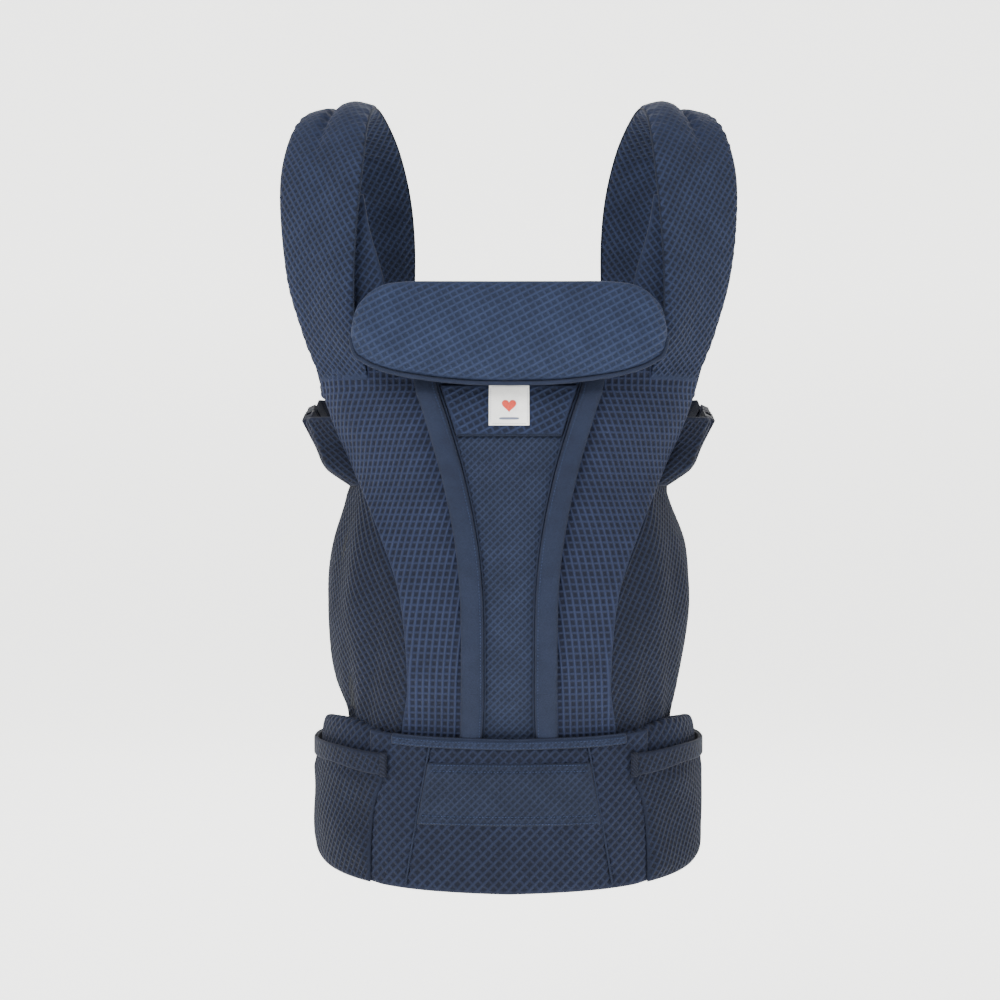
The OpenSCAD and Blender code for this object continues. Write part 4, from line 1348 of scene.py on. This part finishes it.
@dataclass
class ShoulderStraps:
    """The padded shoulder straps from the wings over the shoulders to the side buckles."""

    form: PanelForm
    thick: float = 0.014
    edges: tuple = (
        ((-0.130, -0.122, 0.401), (-0.177, -0.076, 0.401)),
        ((-0.143, -0.124, 0.450), (-0.196, -0.066, 0.450)),
        ((-0.146, -0.118, 0.500), (-0.213, -0.062, 0.505)),
        ((-0.144, -0.108, 0.560), (-0.221, -0.056, 0.565)),
        ((-0.140, -0.090, 0.615), (-0.222, -0.046, 0.615)),
        ((-0.138, -0.055, 0.660), (-0.214, -0.026, 0.658)),
        ((-0.134, -0.010, 0.687), (-0.202, 0.002, 0.680)),
        ((-0.126, 0.035, 0.684), (-0.192, 0.034, 0.679)),
        ((-0.114, 0.075, 0.658), (-0.188, 0.070, 0.655)),
        ((-0.104, 0.098, 0.613), (-0.186, 0.092, 0.613)),
        ((-0.100, 0.106, 0.560), (-0.184, 0.102, 0.560)),
        ((-0.102, 0.108, 0.500), (-0.187, 0.103, 0.500)),
        ((-0.110, 0.106, 0.440), (-0.196, 0.098, 0.440)),
        ((-0.122, 0.100, 0.400), (-0.204, 0.089, 0.400)),
    )
    turn_over: tuple[float, float, float] = (0.889, 1.0, 0.35)
    bend_start: float = -0.060
    bend_end: float = 0.020
    around: int = 56
    first: float = 0.017        # share of the length at which the cloth leaves the wing
    melt_low: float = 0.402     # heights between which it rises from the wing
    melt_high: float = 0.455
    edge_power: float = 3.6
    face_power: float = 0.35

    def along(self, which: int, share: np.ndarray) -> np.ndarray:
        """Points of the left strap's inner (0) or outer (1) edge at shares of its length."""
        points = np.array([e[which] for e in self.edges])
        s = np.clip(share, 0, 1) * (len(points) - 1)
        i = np.clip(np.floor(s).astype(int), 0, len(points) - 2)
        t = (s - i)[:, None]
        p0, p1 = points[np.maximum(i - 1, 0)], points[i]
        p2, p3 = points[i + 1], points[np.minimum(i + 2, len(points) - 1)]
        return 0.5 * (2 * p1 + (p2 - p0) * t + (2 * p0 - 5 * p1 + 4 * p2 - p3) * t * t
                      + (3 * p1 - p0 - 3 * p2 + p3) * t**3)

    def frame_along(self, share: np.ndarray) -> tuple[np.ndarray, np.ndarray, np.ndarray]:
        """Middle, half width vector and outward normal of the left strap at shares."""
        a, b = self.along(0, share), self.along(1, share)
        mid, across = (a + b) / 2, (b - a) / 2
        small = 0.01
        ahead = (self.along(0, share + small) + self.along(1, share + small)
                 - self.along(0, share - small) - self.along(1, share - small))
        return mid, across, unit(np.cross(ahead, across))

    def spacing(self, size: float) -> np.ndarray:
        """Shares that step evenly along the strap's middle."""
        fine = np.linspace(self.first, 1, 2000)
        mid, _, _ = self.frame_along(fine)
        run = np.r_[0, np.cumsum(np.linalg.norm(np.diff(mid, axis=0), axis=1))]
        return np.interp(np.linspace(0, run[-1], count(run[-1], size)), run, fine)

    def sew(self, name: str, side: int, wardrobe: Wardrobe) -> bpy.types.Object:
        """Sews one strap as one long pad.

        Args:
            name: left or right.
            side: -1 or 1.
            wardrobe: The materials.

        Returns:
            The strap.
        """
        share = self.spacing(COARSE)
        mid, across, normal = self.frame_along(share)
        run = np.r_[0, np.cumsum(np.linalg.norm(np.diff(mid, axis=0), axis=1))]
        end = np.minimum(run, run[-1] - run)
        width = np.linalg.norm(across, axis=1)
        turn = 2 * math.pi * np.arange(self.around) / self.around
        flat = np.cos(turn)
        high = np.sign(np.sin(turn)) * np.clip(1 - np.abs(flat) ** self.edge_power, 0, 1) \
            ** self.face_power
        taper = np.where(run < run[-1] / 2, 0.22 + 0.78 * step(0.0, 0.050, run),
                         rounded(end + 0.0002, 0.012))
        narrow = np.where(run < run[-1] / 2, 1.0, 0.72 + 0.28 * rounded(end, 0.030))
        arch = np.exp(-((share - 0.44) / 0.085) ** 2)
        place = flat[None] * width[:, None]
        line = flat[None] - 0.13 + 0.3 * (share[:, None] - 0.40)
        crease = np.exp(-(line / 0.09) ** 2) - 0.45 * np.exp(-((line + 0.55) / 0.40) ** 2)
        groove = 0.0100 * (arch[:, None] * crease) * np.maximum(high, 0)[None]
        gather = 0.0014 * np.sin(run / 0.0024)[:, None] \
            * (np.clip(np.abs(flat)[None] ** 6, 0, 1) + np.exp(-(line / 0.16) ** 2)) \
            * np.exp(-((share - 0.42) / 0.14) ** 2)[:, None]
        wave = 0.0011 * ripple(np.broadcast_to(run[:, None], place.shape), place, 0.07, 41 + side)
        half = self.thick / 2 * taper
        rings = (mid[:, None] + across[:, None] * (flat[None] * narrow[:, None])[..., None]
                 + normal[:, None] * ((half[:, None] - 0.0006) * high[None] - groove + gather
                                      + wave * taper[:, None] * 0.6)[..., None])
        rings = rings * np.array([-side, 1.0, 1.0])
        front = (share < 0.25)[:, None] * (1 - step(self.melt_low, self.melt_high, rings[..., 2]))
        skin = self.form.at(self.form.angle_at(rings[..., 0], rings[..., 2]), rings[..., 2],
                            0.0002 + 0.0014 * high[None] * rounded(end + 0.0002, 0.006)[:, None])
        rings = rings + (skin - rings) * front[..., None]
        uv = np.stack([place, np.broadcast_to(run[:, None], place.shape)], axis=-1)
        lift = step(0.002, 0.008, end)[:, None] * (1 - 0.75 * arch[:, None]) * np.ones(place.shape)
        pad = tube(f"shoulder_strap_{name}", rings, uv, lift)
        faces = np.arange(len(pad.data.polygons))
        # The inner half of the strap takes the dark inner mesh, partly its own darker colour and partly
        # painted shade.
        inside = (faces < (len(share) - 1) * self.around) & (faces % self.around >= self.around // 2)
        pad.data.polygons.foreach_set("material_index", inside.astype(np.int32))
        opposite = self.around // 2
        held = np.concatenate([np.arange(len(share)) * self.around,
                               np.arange(len(share)) * self.around + opposite,
                               np.arange(self.around),
                               np.arange(self.around) + (len(share) - 1) * self.around,
                               [len(share) * self.around, len(share) * self.around + 1]])
        puff(pad, held, 3.0, 0.003, 12)
        subdivide(pad)
        emboss(pad, wardrobe.finishes.strap)
        wardrobe.dress(pad, "waffle_mesh", wardrobe.finishes.strap, wardrobe.finishes.dark)
        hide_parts(f"strap_root_{name}", f"strap_pad_{name}")
        self.follow(pad, name, side)
        log.info("%s: %d faces", pad.name, len(pad.data.polygons))
        return pad

    def follow(self, piece: bpy.types.Object, name: str, side: int) -> None:
        """Bakes a piece's placement into its mesh."""
        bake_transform(piece)

    def edging(self, name: str, side: int, wardrobe: Wardrobe) -> None:
        """Binds both long edges of a strap with fine piping."""
        f = wardrobe.finishes
        share = self.spacing(0.002)
        share = share[(share > 0.09) & (share < 0.945)]
        mid, across, _ = self.frame_along(share)
        for label, way in (("inner", -1), ("outer", 1)):
            path = (mid + across * (way * 1.004)) * np.array([-side, 1.0, 1.0])
            cord = tube(f"strap_edge_{name}_{label}", *cord_rings(path, 0.0010, 6))
            wardrobe.dress(cord, "plain_knit", f.binding)
            self.follow(cord, name, side)
            log.info("%s", cord.name)

    def flare(self, name: str, side: int, wardrobe: Wardrobe) -> None:
        """Sews the thin under layer that flares inwards from the strap's front stretch."""
        f = wardrobe.finishes
        rows, cols = count(0.125, 0.002), count(0.045, 0.002)
        z = span(0.470, 0.588, rows, cols, False)
        wide = smooth(((0.470, 0.034), (0.510, 0.026), (0.550, 0.013), (0.588, 0.003)), z)
        share = np.linspace(0, 1, cols)[None]
        inner_x = smooth(((0.470, -0.1445), (0.500, -0.1460), (0.560, -0.1440), (0.600, -0.1410)), z)
        inner_y = smooth(((0.470, -0.122), (0.500, -0.118), (0.560, -0.108), (0.600, -0.096)), z)
        x = inner_x - 0.010 + (wide + 0.010) * share
        y = inner_y + 0.010 + 0.004 * share + 0.0012 * np.sin(z / 0.010) * share
        edge = np.minimum(np.minimum(share * (wide + 0.01), (1 - share) * (wide + 0.01)),
                          np.minimum(z - z[:1], z[-1:] - z))
        bulge = 0.0011 * rounded(edge, 0.002)
        outer = np.stack([-side * x, y - bulge, z], axis=-1)
        inner = np.stack([-side * x, y + bulge, z], axis=-1)
        layer = closed_pad(f"strap_flare_{name}", outer, inner, np.stack([x, z], axis=-1),
                           step(0.0004, 0.005, edge))
        wardrobe.dress(layer, "waffle_mesh", f.strap, f.dark)
        settle(layer, "root")

    def build(self, wardrobe: Wardrobe) -> None:
        """Builds both straps."""
        for name, side in SIDES.items():
            self.sew(name, side, wardrobe)
            self.edging(name, side, wardrobe)
            self.flare(name, side, wardrobe)


@dataclass
class WaistBelt:
    """The padded belt, its apron, pouches, bands, patch and loops."""

    form: BeltForm
    thick: float = 0.022
    core_out: float = -0.0025
    end_angle: float = 135.0
    pouch_top: float = 0.0605
    slant_reach: float = 18.0
    slant: Table = ((-0.070, 0.0), (-0.020, 0.6), (0.010, 2.2), (0.030, 5.0), (0.058, 6.2))
    seam_top: float = 20.0
    seam_bottom: float = 28.5

    def sheet(self, name: str, angles: tuple[float, float], low: object, high: object,
              outer: float, inner: float, weave: Waffle | None, roll: float,
              swell: object = None, size: float = FINE,
              slant: Table | None = None) -> bpy.types.Object:
        """Sews a sheet on the belt between two angles and two heights.

        Args:
            name: Name of the piece.
            angles: Its first and last angle, in degrees.
            low, high: Its lower and upper edge as functions of the angle.
            outer, inner: Its faces, measured outwards from the belt's outer face.
            weave: The weave to emboss.
            roll: Radius of its rolled edges.
            swell: Folds as a function of girth and height.
            size: Quad size.
            slant: How far its front edge leans forward at each height, in degrees.

        Returns:
            The sheet.
        """
        a, b = angles
        cols = count(math.radians(abs(b - a)) * 0.165, size)
        line = np.linspace(a, b, cols)
        bottom, top = low(np.abs(line)), high(np.abs(line))
        rows = count(float(np.max(top - bottom)), size)
        share = np.linspace(0, 1, rows)[:, None]
        z = bottom + (top - bottom) * share
        angle = np.broadcast_to(line, z.shape)
        if slant is not None:
            reach = (np.abs(angle) - min(abs(a), abs(b))) / self.slant_reach
            angle = angle - np.sign(angle) * smooth(slant, z) * np.clip(1 - reach, 0, 1)
        return Cut(name, angle, z, outer, inner, weave, roll, None, swell).sew(self.form)

    def seam_angle(self, z: np.ndarray) -> np.ndarray:
        """Angle of the apron's upright seams at a height."""
        return np.interp(z, [-0.070, 0.074], [self.seam_bottom, self.seam_top])

    def core(self, wardrobe: Wardrobe) -> None:
        """Sews and fills the belt's padded core."""
        f = wardrobe.finishes
        cols = count(0.80, COARSE)
        around = 44
        angle = np.linspace(-self.end_angle, self.end_angle, cols)
        top, bottom = smooth(self.form.top, np.abs(angle)) - 0.0005, smooth(self.form.bottom,
                                                                            np.abs(angle))
        run = self.form.girth(angle[None], np.zeros((1, cols)))[0]
        end = np.minimum(run - run[0], run[-1] - run)
        draw = rounded(end + 0.0002, 0.012)
        turn = 2 * math.pi * np.arange(around) / around
        half = (self.thick + self.core_out) / 2
        tall = (top - bottom) / 2 * (0.82 + 0.18 * rounded(end, 0.035))
        z = ((top + bottom) / 2)[:, None] + tall[:, None] * signed_power(np.cos(turn), 0.42)[None]
        out = self.core_out - half + (half - 0.0006) * draw[:, None] * signed_power(
            np.sin(turn), 0.62)[None]
        wave = 0.0010 * ripple(np.broadcast_to(run[:, None], z.shape), z, 0.08, 51)
        rings = self.form.at(angle[:, None], z, out + wave * np.sign(np.sin(turn))[None] * 0.5)
        uv = np.stack([np.broadcast_to(run[:, None], z.shape), z], axis=-1)
        lift = np.broadcast_to(step(0.001, 0.006, end)[:, None], z.shape) * 1.0
        pad = tube("belt_core_pad", rings, uv, lift)
        held = np.r_[np.arange(cols) * around, np.arange(cols) * around + around // 2,
                     np.arange(around), np.arange(around) + (cols - 1) * around,
                     cols * around, cols * around + 1]
        puff(pad, held, 2.5, 0.002, 10)
        subdivide(pad)
        emboss(pad, f.belt)
        wardrobe.dress(pad, "waffle_mesh", f.belt)
        settle(pad, "root", "belt_core")

    def apron(self, wardrobe: Wardrobe) -> None:
        """Sews the apron with its two upright seams, and the top band and patch on it."""
        f = wardrobe.finishes
        def low(a: np.ndarray) -> np.ndarray:
            """Lower edge of the apron."""
            return smooth(self.form.bottom, a) + 0.001 + 0.001 * step(36, 42, a)
        def high(a: np.ndarray) -> np.ndarray:
            """Upper edge of the apron."""
            return smooth(self.form.top, a) - 0.0005
        def swell(u: np.ndarray, v: np.ndarray) -> np.ndarray:
            """Soft fullness between the seams, pulled in at each seam."""
            seam = self.form.girth(self.seam_angle(v), v)
            near = np.abs(np.abs(u) - seam)
            return (0.0012 * np.sin(math.pi * np.clip((v + 0.07) / 0.14, 0, 1))
                    + 0.0006 * ripple(u, v, 0.07, 61) - 0.0015 * np.exp(-(near / 0.0022) ** 2))
        pad = self.sheet("belt_apron_cloth", (-42.0, 42.0), low, high, 0.0, -0.0022, f.belt, 0.006,
                         swell)
        wardrobe.dress(pad, "waffle_mesh", f.belt, f.lining)
        settle(pad, "root", "belt_apron")
        def band_low(a: np.ndarray) -> np.ndarray:
            """Lower edge of the top band."""
            return smooth(self.form.top, a) - 0.0095
        def band_high(a: np.ndarray) -> np.ndarray:
            """Upper edge of the top band."""
            return smooth(self.form.top, a) - 0.001
        band = self.sheet("belt_band_cloth", (-33, 33), band_low, band_high, 0.0024, 0.0003, f.star,
                          0.0020)
        wardrobe.dress(band, "waffle_mesh", f.star, f.lining)
        settle(band, "root", "belt_band")
        z = span(-0.008, 0.050, count(0.058), count(0.165), False)
        half = self.seam_angle(z[:, :1]) - 0.4
        angle = half * np.linspace(-1, 1, z.shape[1])[None]
        def puffed(u: np.ndarray, v: np.ndarray) -> np.ndarray:
            """Hems pulled down along the patch's stitch rows."""
            rows = sum(np.exp(-((v - r) / 0.0013) ** 2) for r in (0.0425, 0.0006))
            return 0.0012 - 0.0009 * rows
        patch = Cut("waist_patch_cloth", angle, z, 0.0020, 0.0003, f.patch, 0.0022,
                    None, puffed).sew(self.form)
        wardrobe.dress(patch, "waffle_mesh", f.patch, f.lining)
        settle(patch, "root", "waist_patch")

    def trims(self, wardrobe: Wardrobe) -> None:
        """Sews the seams' piping and every row of stitches on the apron."""
        f = wardrobe.finishes
        form = self.form
        z = np.linspace(-0.066, 0.070, 80)
        for name, side in SIDES.items():
            path = form.at(side * self.seam_angle(z), z, 0.0004)
            cord = cord_piece(f"belt_seam_{name}", path, 0.0010)
            wardrobe.dress(cord, "plain_knit", f.knit)
            settle(cord, "root")
        a = np.linspace(-33, 33, 90)
        top = form.at(a, smooth(form.top, np.abs(a)) - 0.0004, 0.0005)
        cord = cord_piece("belt_top_piping", top, 0.0013)
        wardrobe.dress(cord, "plain_knit", f.knit)
        settle(cord, "root")
        rows = []
        for drop, out, reach in ((0.0032, 0.0028, 32.5), (0.0078, 0.0024, 32.5)):
            a = np.linspace(-reach, reach, 90)
            line = form.at(a, smooth(form.top, np.abs(a)) - drop, out)
            rows.append((line, line * [1, 1, 0]))
        for height, out in ((0.0482, 0.0026), (0.0425, 0.0026), (0.0006, 0.0026), (-0.0062, 0.0026)):
            reach = float(self.seam_angle(height)) - 1.2
            a = np.linspace(-reach, reach, 90)
            line = form.at(a, np.full(90, height), out)
            rows.append((line, line * [1, 1, 0]))
        threads = thread_rows("belt_stitches", rows)
        wardrobe.dress(threads, "plain_knit", f.thread)
        settle(threads, "root")

    def pouches(self, wardrobe: Wardrobe) -> None:
        """Sews the side pouches, laid over the apron's ends, with their hems and elastic loops."""
        f = wardrobe.finishes
        for name, side in SIDES.items():
            def low(a: np.ndarray) -> np.ndarray:
                """Lower edge of the pouch."""
                return smooth(self.form.bottom, a) + 0.0015
            def high(a: np.ndarray) -> np.ndarray:
                """Upper edge of the pouch."""
                return np.full(a.shape, self.pouch_top) - 0.004 * step(62, 41, a)
            def swell(u: np.ndarray, v: np.ndarray) -> np.ndarray:
                """Fullness of the pouch and pulls from its front edge."""
                pull = np.exp(-((np.abs(u) - 0.118) / 0.022) ** 2)
                return (1 - step(0.028, 0.040, v)) * (
                    0.0014 + 0.0012 * ripple(u, v, 0.06, 71 + side)
                    + 0.0007 * pull * np.sin((v + np.abs(u) * 0.8) / 0.0085))
            ends = (41, 128) if side > 0 else (-128, -41)
            pouch = self.sheet(f"belt_pouch_{name}_cloth", ends, low, high, 0.0024, 0.0003, f.side,
                               0.004, swell, slant=self.slant)
            wardrobe.dress(pouch, "dark_mesh", f.side, f.lining)
            settle(pouch, "root", f"belt_pouch_{name}")
            def hem_low(a: np.ndarray) -> np.ndarray:
                """Lower edge of the hem."""
                return high(a) - 0.0175 - 0.003 * step(62, 41, a)
            def hem_high(a: np.ndarray) -> np.ndarray:
                """Upper edge of the hem."""
                return high(a) + 0.0003
            ends = (41, 125) if side > 0 else (-125, -41)
            hem = self.sheet(f"hem_band_{name}_cloth", ends, hem_low, hem_high, 0.0046, 0.0026,
                             None, 0.002, slant=self.slant)
            wardrobe.dress(hem, "dark_mesh", f.side, f.lining)
            settle(hem, "root", f"hem_band_{name}")
            def loop_low(a: np.ndarray) -> np.ndarray:
                """Lower end of the loop."""
                return np.full(a.shape, 0.0345)
            def loop_high(a: np.ndarray) -> np.ndarray:
                """Upper end of the loop."""
                return np.full(a.shape, 0.0575)
            ends = (34.0, 36.4) if side > 0 else (-36.4, -34.0)
            loop = self.sheet(f"pouch_loop_{name}_web", ends, loop_low, loop_high, 0.0058, 0.0020,
                              None, 0.0012, None, 0.001)
            wardrobe.dress(loop, "webbing", f.webbing, f.webbing)
            settle(loop, "root", f"pouch_loop_{name}")

    def build(self, wardrobe: Wardrobe) -> None:
        """Builds the whole belt."""
        self.core(wardrobe)
        self.apron(wardrobe)
        self.trims(wardrobe)
        self.pouches(wardrobe)


@dataclass
class Hardware:
    """Buckles, sliders and webbing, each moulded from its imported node."""

    edge: float = 0.0006
    plastic: tuple[str, ...] = (
        "side_female_left", "side_female_right", "side_male_left", "side_male_right",
        "side_arm_front_left", "side_arm_rear_left", "side_arm_front_right",
        "side_arm_rear_right", "waist_female", "waist_male", "waist_arm_upper",
        "waist_arm_lower", "safety_button", "chest_slider_left", "chest_slider_right",
        "chest_male", "chest_female")
    webs: tuple[str, ...] = (
        "strap_web_left", "strap_web_right", "chest_rail_left", "chest_rail_right",
        "waist_web_left", "waist_web_right", "waist_keeper", "seat_width_tab_left",
        "seat_width_tab_right")

    def body_of(self, node: str) -> str:
        """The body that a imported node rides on."""
        groups = frame["record"]["behaviour"]["bodies"]
        return next(body for body, nodes in groups.items() if node in nodes)

    def mould(self, node: str, suffix: str, width: float) -> bpy.types.Object:
        """Copies a node's shape, merges it and rounds its edges.

        Args:
            node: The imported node.
            suffix: Ending of the new piece's name.
            width: Width of the rounding.

        Returns:
            The new piece.
        """
        mesh = frame["nodes"][node].data.copy()
        piece = bpy.data.objects.new(f"{node}_{suffix}", mesh)
        bpy.context.scene.collection.objects.link(piece)
        only(piece)
        bpy.ops.object.mode_set(mode="EDIT")
        bpy.ops.mesh.select_all(action="SELECT")
        bpy.ops.mesh.remove_doubles(threshold=0.00001)
        bpy.ops.mesh.dissolve_limited(angle_limit=math.radians(1.0))
        bpy.ops.object.mode_set(mode="OBJECT")
        edge = piece.modifiers.new("edge", "BEVEL")
        edge.width, edge.segments, edge.limit_method = width, 2, "ANGLE"
        edge.angle_limit = math.radians(40)
        edge.use_clamp_overlap = True
        bpy.ops.object.modifier_apply(modifier=edge.name)
        bpy.ops.object.shade_smooth_by_angle(angle=math.radians(35))
        return piece

    def build(self, wardrobe: Wardrobe) -> None:
        """Moulds every hard piece and cuts every web."""
        f = wardrobe.finishes
        for node in self.plastic:
            piece = self.mould(node, "moulding", self.edge)
            wardrobe.dress(piece, "buckle_plastic", f.plastic)
            settle(piece, self.body_of(node), node)
        for node in self.webs:
            piece = self.mould(node, "web", self.edge * 0.5)
            wardrobe.dress(piece, "webbing", f.webbing)
            settle(piece, self.body_of(node), node)


@dataclass
class SideTabs:
    """The cloth ears that join the seat sides to the side buckles."""

    form: PanelForm
    low: float = 0.3085
    high: float = 0.376
    half: float = 0.0022
    place: Table = ((0.3115, 0.155), (0.318, 0.165), (0.326, 0.176), (0.345, 0.186), (0.371, 0.197))
    front: Table = ((0.3115, -0.076), (0.340, -0.070), (0.371, -0.050))
    rear: Table = ((0.3115, -0.024), (0.340, -0.030), (0.371, -0.034))

    def build(self, wardrobe: Wardrobe) -> None:
        """Sews both ears."""
        f = wardrobe.finishes
        for name, side in SIDES.items():
            rows, cols = count(0.085), count(0.075)
            z = span(self.low, self.high, rows, cols, False)
            share = np.linspace(0, 1, cols)[None]
            edge_angle = self.form.angle_at(smooth(self.form.wing_x, z[:, 0]), z[:, 0])
            wing = self.form.at(edge_angle, z[:, 0], -0.0035)
            wing[:, 0] -= 0.004
            outer_x = smooth(self.place, z[:, 0])
            knee = np.stack([outer_x, smooth(self.front, z[:, 0]), z[:, 0]], axis=1)
            heel = np.stack([outer_x, smooth(self.rear, z[:, 0]), z[:, 0]], axis=1)
            bend = 0.42
            first, second = np.clip(share / bend, 0, 1), np.clip((share - bend) / (1 - bend), 0, 1)
            base = (wing[:, None] + (knee - wing)[:, None] * first[..., None]
                    + (heel - knee)[:, None] * second[..., None])
            soft = np.exp(-((share - bend) / 0.18) ** 2)[..., None]
            chord = wing[:, None] + (heel - wing)[:, None] * share[..., None]
            base = base + (chord - base) * soft * 0.22
            normal = grid_normals(base)
            if normal[..., 0].mean() < 0:
                normal = -normal
            run = np.r_[0, np.cumsum(np.linalg.norm(np.diff(base[:, cols // 2], axis=0), axis=1))]
            across = np.cumsum(np.linalg.norm(np.diff(base, axis=1, prepend=base[:, :1]), axis=2),
                               axis=1)
            uv = np.stack([across, np.broadcast_to(run[:, None], across.shape)], axis=-1)
            edge = np.minimum(np.minimum(across, across[:, -1:] - across),
                              np.minimum(run, run[-1] - run)[:, None])
            bulge = self.half * rounded(edge, 0.003)[..., None]
            press = (f.side.height(uv) * step(0.001, 0.004, edge))[..., None]
            flip = np.array([side, 1.0, 1.0])
            tab = closed_pad(f"side_tab_{name}_cloth", (base + normal * (bulge + press)) * flip,
                             (base - normal * bulge) * flip, uv, step(0.0004, 0.005, edge))
            wardrobe.dress(tab, "dark_mesh", f.side, f.side)
            settle(tab, "root", f"side_tab_{name}")


# ---- Studio ------------------------------------------------------------------------------------


@dataclass
class Studio:
    """Camera, soft lights and a plain pale floor that curves up behind."""

    eye: tuple[float, float, float] = (-0.0084, -1.735, 0.295)
    lens: float = 62.0
    floor: float = -0.42
    tone: tuple[int, int, int] = (233, 233, 231)
    glow: float = 2.3

    def camera(self) -> None:
        """Places the camera, level and looking along +Y."""
        data = bpy.data.cameras.new("view")
        data.lens, data.sensor_width = self.lens, 36.0
        eye = bpy.data.objects.new("view", data)
        eye.location = self.eye
        eye.rotation_euler = (math.pi / 2, 0.0, 0.0)
        bpy.context.scene.collection.objects.link(eye)
        bpy.context.scene.camera = eye

    def light(self, name: str, place: tuple[float, float, float], size: float,
              power: float) -> None:
        """Hangs one square soft light that faces the carrier."""
        data = bpy.data.lights.new(name, "AREA")
        data.shape, data.size, data.energy = "SQUARE", size, power
        lamp = bpy.data.objects.new(name, data)
        lamp.location = place
        aim = Vector((0.0, 0.0, 0.28)) - Vector(place)
        lamp.rotation_euler = aim.to_track_quat("-Z", "Y").to_euler()
        bpy.context.scene.collection.objects.link(lamp)

    def backdrop(self) -> None:
        """Lays the floor as one sheet that sweeps up behind the carrier."""
        profile = [(-6.0, self.floor), (3.0, self.floor)]
        profile += [(3.0 + 1.5 * math.sin(t), self.floor + 1.5 * (1 - math.cos(t)))
                    for t in np.linspace(0.1, math.pi / 2, 12)]
        profile += [(4.5, 6.0)]
        verts = np.array([(x, y, z) for x in (-7.0, 7.0) for y, z in profile])
        n = len(profile)
        faces = np.array([(i, n + i, n + i + 1, i + 1) for i in range(n - 1)])
        sheet = new_piece("floor", verts, faces)
        material = bpy.data.materials.new("floor_paper")
        material.use_nodes = True
        body = material.node_tree.nodes["Principled BSDF"]
        body.inputs["Base Color"].default_value = linear(*self.tone)
        body.inputs["Roughness"].default_value = 0.9
        body.inputs["Emission Color"].default_value = linear(*self.tone)
        body.inputs["Emission Strength"].default_value = self.glow
        sheet.data.materials.append(material)

    def build(self) -> None:
        """Sets up the lights, the floor and the air."""
        self.light("key", (-1.3, -2.2, 2.1), 1.8, 120.0)
        self.light("fill", (1.9, -1.9, 0.9), 1.8, 34.0)
        self.light("back", (0.3, 2.2, 1.9), 2.0, 60.0)
        self.backdrop()
        world = bpy.data.worlds.new("air")
        world.use_nodes = True
        world.node_tree.nodes["Background"].inputs[0].default_value = (1.0, 1.0, 1.0, 1.0)
        world.node_tree.nodes["Background"].inputs[1].default_value = 0.75
        bpy.context.scene.world = world


def main() -> None:
    """Builds the studio and every sub-assembly."""
    logging.basicConfig(level=logging.INFO, format="%(name)s %(message)s")
    studio = Studio()
    studio.camera()
    studio.build()
    wardrobe = Wardrobe(Finishes())
    panel_form, belt_form = PanelForm(), BeltForm()
    FrontPanel(panel_form).build(wardrobe)
    PocketFlap(panel_form).build(wardrobe)
    HeadPillow().build(wardrobe)
    ShoulderStraps(panel_form).build(wardrobe)
    WaistBelt(belt_form).build(wardrobe)
    SideTabs(panel_form).build(wardrobe)
    Hardware().build(wardrobe)


if __name__ == "__main__":
    main()
